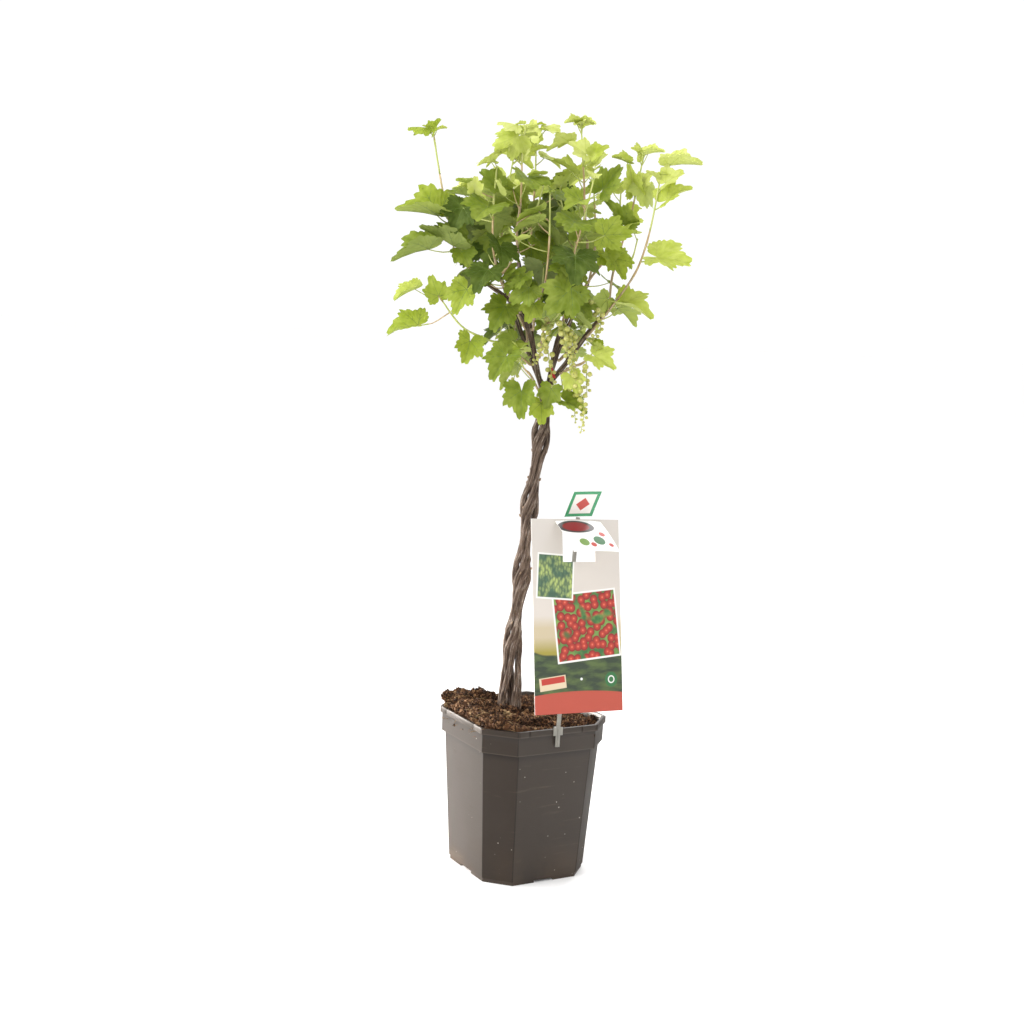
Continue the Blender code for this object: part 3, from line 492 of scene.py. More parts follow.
@dataclass(frozen=True)
class CardPrint:
    """Coated card printed with plain shapes. Its UV map is in metres, from the foot's middle."""

    side: Print
    paper: Colour = (0.60, 0.545, 0.49)
    white: Colour = (0.74, 0.73, 0.70)
    red: Colour = (0.42, 0.032, 0.020)
    deep_red: Colour = (0.21, 0.008, 0.010)
    green: Colour = (0.025, 0.13, 0.038)
    dark_green: Colour = (0.022, 0.038, 0.018)
    leaf_green: Colour = (0.14, 0.25, 0.04)
    soft: float = 0.0002

    def make(self) -> bpy.types.Material:
        """Return the material."""
        maker = Maker(f"label_{self.side.value}")
        sides = (self._card, self._flap, self._sign, self._back)
        draw = dict(zip(Print, sides))[self.side]
        fibres = maker.noise(maker.coordinates(), 600.0, 2.0)
        return maker.surface(
            Base_Color=draw(maker, maker.uv("card")),
            Roughness=0.34 + fibres * 0.12,
            Normal=maker.bump(fibres, 0.00006, 0.4),
            Specular_IOR_Level=0.45,
        )

    def _panel(self, maker: Maker, place: Any, middle: tuple, size: tuple, turn: float) -> tuple:
        """Lay out a turned rectangle.

        Args:
            maker: The material's maker.
            place: The UV map's socket.
            middle: The rectangle's middle in metres.
            size: Its width and height in metres.
            turn: Its turn in degrees, anticlockwise.

        Returns:
            A mask that is 1 inside it, and its own place in metres from its middle.
        """
        shift = maker.node("ShaderNodeVectorMath", {"operation": "SUBTRACT"}, {0: place, 1: (*middle, 0.0)})
        turned = maker.mapped(shift.outputs[0], turn=(0.0, 0.0, math.radians(-turn)))
        right, up, _ = maker.axes(turned)
        edge = (abs(right) - size[0] / 2).most(abs(up) - size[1] / 2)
        return edge.rise(self.soft, -self.soft), turned

    def _discs(self, maker: Maker, place: Any, colour: Any, discs: Iterable[tuple]) -> bpy.types.NodeSocket:
        """Return the colour with discs on it, each given as its middle, radius and tint."""
        for middle, radius, tint in discs:
            inputs = {0: place, 1: (*middle, 0.0)}
            away = maker.node("ShaderNodeVectorMath", {"operation": "DISTANCE"}, inputs)
            mask = Level(maker, away.outputs["Value"]).rise(radius + self.soft, radius - self.soft)
            colour = maker.mix(mask, colour, tint)
        return colour

    def _card(self, maker: Maker, place: Any) -> bpy.types.NodeSocket:
        """Return the colour of the card's picture side."""
        right, up, _ = maker.axes(place)
        cloud = maker.noise(place, 12.0, 2.0)
        colour = maker.mix((cloud * 0.5 + up * 1.6).rise(0.36, 0.66), self.paper, (0.54, 0.50, 0.46))
        rows = maker.noise(maker.mapped(place, (30.0, 90.0, 1.0)), 1.0, 4.0)
        meadow = maker.mix(rows.rise(0.42, 0.62), self.dark_green, (0.075, 0.115, 0.030))
        evening = maker.mix(up.rise(0.100, 0.080), (0.50, 0.42, 0.28), (0.30, 0.25, 0.035))
        hill = (right * 60.0).sine() * 0.004 + (right * 140.0).sine() * 0.0015 + 0.078
        colour = maker.mix(up.rise(0.128, 0.112), colour, evening)
        colour = maker.mix((hill - up).rise(-0.0012, 0.0012), colour, meadow)
        band = 0.0285 - right * right * 0.9
        colour = maker.mix((band - up).rise(-0.0003, 0.0003), colour, (0.40, 0.062, 0.036))
        for middle, size, inner, turn, pattern in (
            ((0.0135, 0.1140), (0.0990, 0.0910), (0.0940, 0.0860), 5.0, self._pebbles),
            ((-0.0330, 0.1790), (0.0560, 0.0600), (0.0515, 0.0555), -4.0, self._blades),
        ):
            border, _ = self._panel(maker, place, middle, size, turn)
            picture, turned = self._panel(maker, place, middle, inner, turn)
            colour = maker.mix(border, colour, self.white)
            colour = maker.mix(picture, colour, pattern(maker, turned))
        ring = (0.0500, 0.0420)
        discs = (
            (ring, 0.0098, self.green),
            (ring, 0.0052, self.white),
            (ring, 0.0036, self.green),
            ((0.0035, 0.0440), 0.0017, (0.9, 0.9, 0.9)),
        )
        colour = self._discs(maker, place, colour, discs)
        box, _ = self._panel(maker, place, (-0.0400, 0.0400), (0.0400, 0.0170), 6.0)
        filling, _ = self._panel(maker, place, (-0.0396, 0.0432), (0.0350, 0.0082), 6.0)
        return maker.mix(filling, maker.mix(box, colour, (0.62, 0.50, 0.34)), self.red)

    def _pebbles(self, maker: Maker, place: Any) -> bpy.types.NodeSocket:
        """Return red discs on a mottled green."""
        pebble = maker.cells(place, 92.0, 0.75, flat=True)
        mottle = maker.noise(place, 46.0, 3.0).rise(0.40, 0.62)
        green = maker.mix(mottle, (0.030, 0.12, 0.030), (0.17, 0.29, 0.06))
        blocks = maker.noise(place, 24.0, 1.0).rise(0.38, 0.42)
        reds = maker.mix(pebble.rise(0.50, 0.10), self.deep_red, (0.50, 0.050, 0.022))
        reds = maker.mix(pebble.rise(0.13, 0.05) * 0.6, reds, (0.66, 0.22, 0.15))
        return maker.mix(pebble.rise(0.60, 0.54) * blocks, green, reds)

    def _blades(self, maker: Maker, place: Any) -> bpy.types.NodeSocket:
        """Return narrow pale and dark strokes of green."""
        blades = maker.cells(maker.mapped(place, (260.0, 130.0, 1.0)), 1.0, 0.9, flat=True)
        light = maker.noise(place, 55.0, 3.0).rise(0.42, 0.60)
        colour = maker.mix(light, (0.060, 0.125, 0.070), (0.36, 0.44, 0.13))
        return maker.mix(blades.rise(0.25, 0.60) * 0.75, colour, (0.035, 0.080, 0.050))

    def _flap(self, maker: Maker, place: Any) -> bpy.types.NodeSocket:
        """Return the colour of the flap's picture side."""
        right, up, _ = maker.axes(place)
        shade = maker.noise(place, 40.0, 2.0)
        colour = maker.mix(shade.rise(0.3, 0.7), (0.84, 0.83, 0.81), (0.76, 0.75, 0.73))
        right, up = right + 0.010, up - 0.049
        oval = right * right * 1.2 + up * up * 5.0
        colour = maker.mix(oval.rise(0.00095, 0.00085), colour, (0.045, 0.035, 0.035))
        colour = maker.mix(oval.rise(0.00052, 0.00046), colour, self.deep_red)
        discs = (
            ((0.012, 0.020), 0.0085, self.green),
            ((-0.012, 0.017), 0.0070, self.leaf_green),
            ((0.000, 0.012), 0.0042, self.red),
            ((0.022, 0.033), 0.0046, self.red),
            ((0.027, 0.012), 0.0036, self.red),
        )
        return self._discs(maker, place, colour, discs)

    def _sign(self, maker: Maker, place: Any) -> bpy.types.NodeSocket:
        """Return the colour of the small sign: a green frame round a pale field with a red lozenge."""
        inside, _ = self._panel(maker, place, (0.0, 0.021), (0.0330, 0.0320), 0.0)
        lozenge, _ = self._panel(maker, place, (0.0, 0.0205), (0.0150, 0.0150), 45.0)
        colour = maker.mix(inside, (0.045, 0.28, 0.12), (0.80, 0.76, 0.72))
        return maker.mix(lozenge, colour, (0.50, 0.065, 0.050))

    def _back(self, maker: Maker, place: Any) -> bpy.types.NodeSocket:
        """Return the colour of the bare back."""
        shade = maker.noise(place, 30.0, 2.0)
        return maker.mix(shade.rise(0.3, 0.7), (0.80, 0.79, 0.76), (0.72, 0.71, 0.68))


# Meshes


@dataclass
class Heap:
    """Many small shapes that end up in one mesh, each with its own material and UV."""

    name: str
    points: list = field(default_factory=list)
    faces: list = field(default_factory=list)
    slots: list = field(default_factory=list)
    uvs: list = field(default_factory=list)
    count: int = 0

    def add(self, points: np.ndarray, faces: np.ndarray, slot: int, uv: np.ndarray | None = None) -> None:
        """Add one shape.

        Args:
            points: Its points, three numbers each.
            faces: Its triangles, as indices of its points.
            slot: The index of its material.
            uv: Two numbers for each point, or None.
        """
        self.points.append(points)
        self.faces.append(faces + self.count)
        self.slots.append(np.full(len(faces), slot, np.int32))
        self.uvs.append(np.zeros((len(points), 2)) if uv is None else uv)
        self.count += len(points)

    def tube(
        self, path: Sequence[Vector], radii: Sequence[float], sides: int, slot: int, relief: Any = None
    ) -> None:
        """Add a tube, as tube_arrays makes it, in the material of this slot."""
        points, faces, uv = tube_arrays(path, radii, sides, relief)
        self.add(points, faces, slot, uv)

    def build(self, materials: Sequence[bpy.types.Material], uv_name: str) -> bpy.types.Object:
        """Make the mesh's object, smooth and with its materials.

        Args:
            materials: The materials by slot.
            uv_name: The name of the UV map.

        Returns:
            The new object.
        """
        points = np.concatenate(self.points)
        faces = np.concatenate(self.faces)
        mesh = bpy.data.meshes.new(self.name)
        mesh.from_pydata(points.tolist(), [], faces.tolist())
        for material in materials:
            mesh.materials.append(material)
        mesh.polygons.foreach_set("material_index", np.concatenate(self.slots))
        layer = mesh.uv_layers.new(name=uv_name)
        layer.data.foreach_set("uv", np.concatenate(self.uvs)[faces.reshape(-1)].reshape(-1))
        mesh.polygons.foreach_set("use_smooth", np.ones(len(faces), bool))
        mesh.update()
        obj = bpy.data.objects.new(self.name, mesh)
        bpy.context.scene.collection.objects.link(obj)
        return obj


def pick_only(*objects: bpy.types.Object) -> None:
    """Deselect everything, then select these objects and make the first one active."""
    for other in bpy.context.selected_objects:
        other.select_set(False)
    for obj in objects:
        obj.select_set(True)
    if objects:
        bpy.context.view_layer.objects.active = objects[0]


def apply_modifier(obj: bpy.types.Object, kind: str, **settings: Any) -> None:
    """Add a modifier to the object and apply it."""
    pick_only(obj)
    modifier = obj.modifiers.new(kind.lower(), kind)
    for name, value in settings.items():
        setattr(modifier, name, value)
    bpy.ops.object.modifier_apply(modifier=modifier.name)


def smooth_below(obj: bpy.types.Object, degrees: float) -> None:
    """Shade the object smooth but for the edges that bend by more than this."""
    pick_only(obj)
    bpy.ops.object.shade_smooth_by_angle(angle=math.radians(degrees))


def merged_copy(node: bpy.types.Object, name: str) -> bpy.types.Object:
    """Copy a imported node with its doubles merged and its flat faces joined.

    Args:
        node: The node's object.
        name: The copy's name.

    Returns:
        The copy, at the origin.
    """
    mesh = node.data.copy()
    mesh.name = name
    mesh.materials.clear()
    shape = bmesh.new()
    shape.from_mesh(mesh)
    bmesh.ops.remove_doubles(shape, verts=shape.verts, dist=1e-5)
    bmesh.ops.dissolve_limit(shape, angle_limit=math.radians(1.0), verts=shape.verts, edges=shape.edges)
    shape.to_mesh(mesh)
    shape.free()
    copy = bpy.data.objects.new(name, mesh)
    bpy.context.scene.collection.objects.link(copy)
    return copy


def ring_axes(path: Sequence[Vector]) -> Iterator[tuple[Vector, Vector]]:
    """Yield the two axes of the ring at each point of a path, turned as little as they can be."""
    across = None
    for k in range(len(path)):
        ahead = (path[min(k + 1, len(path) - 1)] - path[max(k - 1, 0)]).normalized()
        across = ahead.orthogonal() if across is None else across - ahead * across.dot(ahead)
        across.normalize()
        yield across, ahead.cross(across)


def square_to(way: Vector, turn: float) -> Vector:
    """Return a direction square to this way, turned round it by this angle."""
    return Matrix.Rotation(turn, 3, way) @ way.orthogonal().normalized()


def tube_arrays(
    path: Sequence[Vector], radii: Sequence[float], sides: int, relief: Any = None
) -> tuple[np.ndarray, np.ndarray, np.ndarray]:
    """Loft a closed tube of triangles round a path.

    Args:
        path: The centres of its rings.
        radii: A radius for each ring.
        sides: How many points a ring has.
        relief: A function of (ring, angle, way along) that returns how far a point is pushed out, or None.

    Returns:
        The points, the triangles, and a UV of (share round, metres along) for each point.
    """
    points, uvs = [], []
    far = 0.0
    for k, (centre, (across, other)) in enumerate(zip(path, ring_axes(path))):
        far += (centre - path[k - 1]).length if k else 0.0
        for j in range(sides + 1):
            angle = math.tau * j / sides
            push = relief(k, angle % math.tau, far) if relief else 0.0
            points.append(centre + (across * math.cos(angle) + other * math.sin(angle)) * (radii[k] + push))
            uvs.append((j / sides, far))
    wide = sides + 1
    faces = []
    for k in range(len(path) - 1):
        for j in range(sides):
            a = k * wide + j
            faces += [(a, a + 1, a + 1 + wide), (a, a + 1 + wide, a + wide)]
    last = (len(path) - 1) * wide
    faces += [(0, j + 1, j) for j in range(1, sides - 1)]
    faces += [(last, last + j, last + j + 1) for j in range(1, sides - 1)]
    return np.array(points), np.array(faces), np.array(uvs)


# Limbs and how the masses grow


def curve_through(points: Sequence[Vector], step: float) -> list[Vector]:
    """Return points about a step apart on a smooth curve through these points."""
    ends = [points[0] * 2 - points[1], *points, points[-1] * 2 - points[-2]]
    found = []
    for before, start, end, after in zip(ends, ends[1:], ends[2:], ends[3:]):
        count = max(1, round((end - start).length / step))
        for k in range(count):
            t = k / count
            bend = (start - end) * 3 + after - before
            slope = before * 2 - start * 5 + end * 4 - after
            found.append(start + ((bend * t + slope) * t + end - before) * (t / 2))
    return found + [points[-1]]


def along(path: Sequence[Vector], share: float) -> tuple[Vector, Vector]:
    """Return the point and the direction at this share of a path's length."""
    lengths = [(b - a).length for a, b in zip(path, path[1:])]
    left = share * sum(lengths)
    for a, b, length in zip(path, path[1:], lengths):
        if left <= length or b is path[-1]:
            return a + (b - a) * min(1.0, left / length), (b - a).normalized()
        left -= length
    return path[-1], (path[-1] - path[-2]).normalized()


def stack(rings: Sequence[Sequence[Vector]]) -> Shape:
    """Return a closed body lofted through rings of the same number of points."""
    sides = len(rings[0])
    points = [point for ring in rings for point in ring]
    faces: list[tuple[int, ...]] = []
    for k in range(len(rings) - 1):
        for j in range(sides):
            a, b = k * sides + j, k * sides + (j + 1) % sides
            faces.append((a, b, b + sides, a + sides))
    last = (len(rings) - 1) * sides
    faces.append(tuple(reversed(range(sides))))
    faces.append(tuple(range(last, last + sides)))
    return points, faces


def plain_tube(path: Sequence[Vector], radii: Sequence[float], sides: int) -> Shape:
    """Return a closed tube round a path."""
    angles = [math.tau * j / sides for j in range(sides)]
    return stack([
        [centre + (across * math.cos(a) + other * math.sin(a)) * radius for a in angles]
        for centre, radius, (across, other) in zip(path, radii, ring_axes(path))
    ])


@dataclass
class Plait:
    """The six stems: three pairs that open into an eye and close to a waist in turn."""

    foot_radius: float = 0.0034
    top_radius: float = 0.0029
    foot: float = 0.2115 + GAP
    top: float = 0.632
    step: float = 0.0180
    room: float = 1.08
    rounds: int = 30
    feet_end: float = 0.300
    feet_radius: float = 0.0125
    feet_turn: float = 60.0
    first_waist: float = 0.355
    first_turn: float = -30.0
    pair_turn: float = 120.0
    eye_pitch: float = 0.093
    eye_radius: float = 0.0098
    eye_spread: float = 1.05
    spacing: float = 0.0036
    waist_hold: float = 0.8
    line: tuple = (
        (0.211, -0.0185),
        (0.310, -0.0190),
        (0.400, -0.0115),
        (0.490, -0.0050),
        (0.585, 0.0055),
        (0.640, 0.0075),
    )

    def centre(self, up: float) -> float:
        """Return how far right the plait's middle stands at this height."""
        for (low, start), (high, end) in zip(self.line, self.line[1:]):
            if up <= high or high == self.line[-1][0]:
                return start + (end - start) * smooth((up - low) / (high - low))
        return self.line[-1][1]

    def point(self, pair: int, side: int, up: float) -> Vector:
        """Return a stem's centre at this height.

        Args:
            pair: 0, 1 or 2.
            side: -1 or 1 in the pair.
            up: The height in metres.

        Returns:
            The centre in the part's frame.
        """
        eyes = (max(up, self.feet_end) - self.first_waist) / self.eye_pitch
        feet = smooth((self.feet_end - up) / (self.feet_end - self.foot))
        opened = math.sin(math.pi * eyes) ** 2
        opened += (1.0 - opened) * feet
        turned = eyes - self.waist_hold * math.sin(math.tau * eyes) / math.tau
        radius = self.spacing * 2 + (self.eye_radius - self.spacing * 2) * opened
        radius += (self.feet_radius - radius) * feet
        spread = math.asin(self.spacing * (1.0 + (self.eye_spread - 1.0) * opened) / radius)
        turn = self.first_turn + self.pair_turn * (turned + pair) - self.feet_turn * feet
        angle = math.radians(turn) + side * spread
        wide = Vector((math.cos(angle), math.sin(angle))) * radius
        column = max(-1.0, min(1.0, 2.0 * math.cos(angle)))
        row = max(-1.0, min(1.0, math.sin(angle) / math.sin(math.radians(60.0))))
        tight = Vector((column * self.spacing, row * self.spacing * 2))
        across = tight.lerp(wide, opened)
        return from_front((across.x + self.centre(up), across.y, up))

    def paths(self) -> list[list[Vector]]:
        """Return the six stems' paths from the mulch up."""
        count = round((self.top - self.foot) / self.step)
        levels = []
        for k, radius in enumerate(taper(count + 1, self.foot_radius, self.top_radius)):
            up = self.foot + (self.top - self.foot) * k / count
            level = [self.point(pair, side, up) for pair in (0, 1, 2) for side in (-1, 1)]
            self._spread(level, 2.0 * radius * self.room + GAP)
            levels.append(level)
        paths = [list(path) for path in zip(*levels)]
        for path in paths:
            path[0] = Vector((path[1].x, path[1].y, path[0].z))
        return paths

    def _spread(self, points: Sequence[Vector], least: float) -> None:
        """Move points of one height until no two are nearer than this."""
        for _ in range(self.rounds):
            for a, b in itertools.combinations(points, 2):
                apart = b - a
                if apart.length < least:
                    push = apart.normalized() * (least - apart.length) / 2
                    a -= push
                    b += push


@dataclass(frozen=True)
class Shoot:
    """One mass of leaves, grown from a stem that leaves its bough at a share of the bough's length."""

    name: str
    bough: str
    share: float
    path: tuple
    leaves: int
    blade: float
    turn: float
    first: float = 0.12
    stalk: float = 0.036
    side_twigs: int = 1
    bare: tuple = (1.0, 1.0)
    strings: tuple = ()


BOUGHS = {
    "bough_low_right": (
        (0.016, -0.012, 0.662), (0.036, -0.014, 0.690), (0.058, -0.013, 0.724), (0.082, -0.010, 0.754),
    ),
    "bough_right": (
        (0.014, 0.001, 0.672), (0.020, 0.003, 0.712), (0.032, 0.004, 0.745), (0.052, 0.000, 0.804),
    ),
    "bough_back_right": (
        (0.013, 0.014, 0.662), (0.024, 0.034, 0.702), (0.042, 0.060, 0.750), (0.060, 0.080, 0.792),
    ),
    "bough_back_left": (
        (-0.002, 0.014, 0.664), (-0.020, 0.034, 0.706), (-0.040, 0.062, 0.752), (-0.058, 0.086, 0.794),
    ),
    "bough_left": (
        (-0.003, 0.001, 0.670), (-0.016, 0.002, 0.722), (-0.036, 0.000, 0.756), (-0.090, -0.007, 0.795),
    ),
    "bough_leader": (
        (-0.002, -0.010, 0.668), (-0.011, -0.014, 0.708), (-0.020, -0.022, 0.748), (-0.035, -0.047, 0.812),
    ),
}

SHOOTS = (
    Shoot(
        "foliage_left_tall", "bough_left", 1.0,
        ((-0.106, -0.010, 0.812), (-0.121, -0.010, 0.846), (-0.137, -0.010, 0.897), (-0.153, -0.010, 0.974)),
        leaves=11, blade=0.047, turn=200.0, side_twigs=0, bare=(0.56, 0.93),
    ),
    Shoot(
        "foliage_front_centre", "bough_leader", 1.0,
        ((-0.039, -0.050, 0.850), (-0.036, -0.050, 0.886), (-0.037, -0.050, 0.957), (-0.034, -0.050, 0.980)),
        leaves=11, blade=0.047, turn=170.0,
    ),
    Shoot(
        "foliage_right_centre", "bough_right", 1.0,
        ((0.053, -0.002, 0.847), (0.048, -0.004, 0.879), (0.045, -0.004, 0.916), (0.037, -0.004, 0.992)),
        leaves=11, blade=0.045, turn=20.0,
    ),
    Shoot(
        "foliage_right_tall", "bough_low_right", 1.0,
        ((0.088, -0.002, 0.801), (0.098, 0.010, 0.840), (0.109, 0.016, 0.883), (0.122, 0.020, 0.962)),
        leaves=12, blade=0.045, turn=250.0,
    ),
    Shoot(
        "foliage_back_right", "bough_back_right", 1.0,
        ((0.068, 0.096, 0.840), (0.066, 0.112, 0.890), (0.060, 0.122, 0.950)),
        leaves=10, blade=0.048, turn=60.0,
    ),
    Shoot(
        "foliage_back_left", "bough_back_left", 1.0,
        ((-0.062, 0.104, 0.842), (-0.058, 0.120, 0.896), (-0.050, 0.130, 0.958)),
        leaves=10, blade=0.048, turn=100.0,
    ),
    Shoot(
        "foliage_far_right", "bough_low_right", 0.72,
        ((0.092, -0.030, 0.768), (0.118, -0.034, 0.812), (0.132, -0.036, 0.866), (0.140, -0.036, 0.926)),
        leaves=10, blade=0.047, turn=330.0, side_twigs=0, bare=(0.45, 0.78),
    ),
    Shoot(
        "foliage_centre_top", "bough_back_left", 0.45,
        ((-0.026, 0.026, 0.790), (-0.020, 0.022, 0.860), (-0.019, 0.020, 0.940), (-0.021, 0.020, 0.990)),
        leaves=12, blade=0.047, turn=30.0,
    ),
    Shoot(
        "foliage_left_low", "bough_left", 0.26,
        ((-0.046, -0.010, 0.705), (-0.072, -0.014, 0.712), (-0.106, -0.016, 0.728), (-0.136, -0.016, 0.764)),
        leaves=9, blade=0.045, turn=190.0, side_twigs=0,
    ),
    Shoot(
        "foliage_front_low", "bough_leader", 0.10,
        ((-0.012, -0.026, 0.668), (-0.022, -0.040, 0.678), (-0.030, -0.048, 0.694)),
        leaves=9, blade=0.048, turn=200.0, first=0.10, stalk=0.034, side_twigs=0,
    ),
    Shoot(
        "foliage_right_low", "bough_low_right", 0.32,
        ((0.040, -0.030, 0.682), (0.054, -0.040, 0.688), (0.068, -0.044, 0.704)),
        leaves=8, blade=0.050, turn=280.0, first=0.25, stalk=0.032, side_twigs=0,
        strings=((0.35, (0.010, -0.004, -0.070), 7), (0.75, (0.004, -0.002, -0.046), 5)),
    ),
    Shoot(
        "foliage_front_left", "bough_left", 0.62,
        ((-0.058, -0.030, 0.790), (-0.068, -0.052, 0.826), (-0.070, -0.062, 0.880), (-0.068, -0.064, 0.930)),
        leaves=12, blade=0.048, turn=230.0,
    ),
    Shoot(
        "foliage_front_right", "bough_right", 0.55,
        ((0.034, -0.030, 0.776), (0.034, -0.058, 0.818), (0.044, -0.072, 0.868), (0.054, -0.078, 0.918)),
        leaves=11, blade=0.050, turn=290.0,
        strings=((0.10, (0.006, -0.004, -0.040), 5),),
    ),
    Shoot(
        "foliage_front_middle", "bough_leader", 0.52,
        ((-0.010, -0.050, 0.756), (0.000, -0.076, 0.790), (0.002, -0.088, 0.838), (0.000, -0.092, 0.896)),
        leaves=12, blade=0.050, turn=260.0,
    ),
    Shoot(
        "foliage_fruit_spur", "bough_leader", 0.32,
        ((0.002, -0.034, 0.730), (0.014, -0.046, 0.742), (0.024, -0.056, 0.756)),
        leaves=6, blade=0.045, turn=240.0, first=0.45, stalk=0.030, side_twigs=0,
        strings=((0.10, (0.002, 0.004, -0.052), 6), (0.40, (0.022, -0.004, -0.078), 8)),
    ),
    Shoot(
        "foliage_left_back", "bough_left", 0.50,
        ((-0.056, 0.026, 0.788), (-0.082, 0.056, 0.814), (-0.094, 0.076, 0.858), (-0.096, 0.084, 0.910)),
        leaves=11, blade=0.048, turn=120.0,
    ),
    Shoot(
        "foliage_right_back", "bough_right", 0.80,
        ((0.062, 0.026, 0.800), (0.086, 0.052, 0.834), (0.096, 0.068, 0.874), (0.098, 0.076, 0.922)),
        leaves=11, blade=0.047, turn=70.0,
    ),
    Shoot(
        "foliage_back_middle", "bough_back_right", 0.60,
        ((0.030, 0.086, 0.776), (0.010, 0.110, 0.806), (0.002, 0.118, 0.856), (0.002, 0.122, 0.920)),
        leaves=12, blade=0.050, turn=90.0,
    ),
    Shoot(
        "foliage_back_low_left", "bough_back_left", 0.40,
        ((-0.034, 0.060, 0.714), (-0.042, 0.078, 0.722), (-0.048, 0.096, 0.742)),
        leaves=8, blade=0.045, turn=110.0, first=0.15, stalk=0.034, side_twigs=0,
        strings=((0.30, (-0.006, 0.006, -0.060), 6),),
    ),
    Shoot(
        "foliage_back_low_right", "bough_back_right", 0.35,
        ((0.040, 0.056, 0.704), (0.048, 0.072, 0.712), (0.054, 0.088, 0.732)),
        leaves=8, blade=0.045, turn=50.0, first=0.15, stalk=0.034, side_twigs=0,
        strings=((0.40, (0.006, 0.006, -0.060), 6),),
    ),
)


@dataclass
class Leaf:
    """One leaf: its stalk runs from place to joint, and its blade from there."""

    place: Vector
    joint: Vector
    ahead: Vector
    up: Vector
    length: float
    age: float


@dataclass
class Mass:
    """What grew on one shoot."""

    twigs: list = field(default_factory=list)
    leaves: list = field(default_factory=list)
    strings: list = field(default_factory=list)


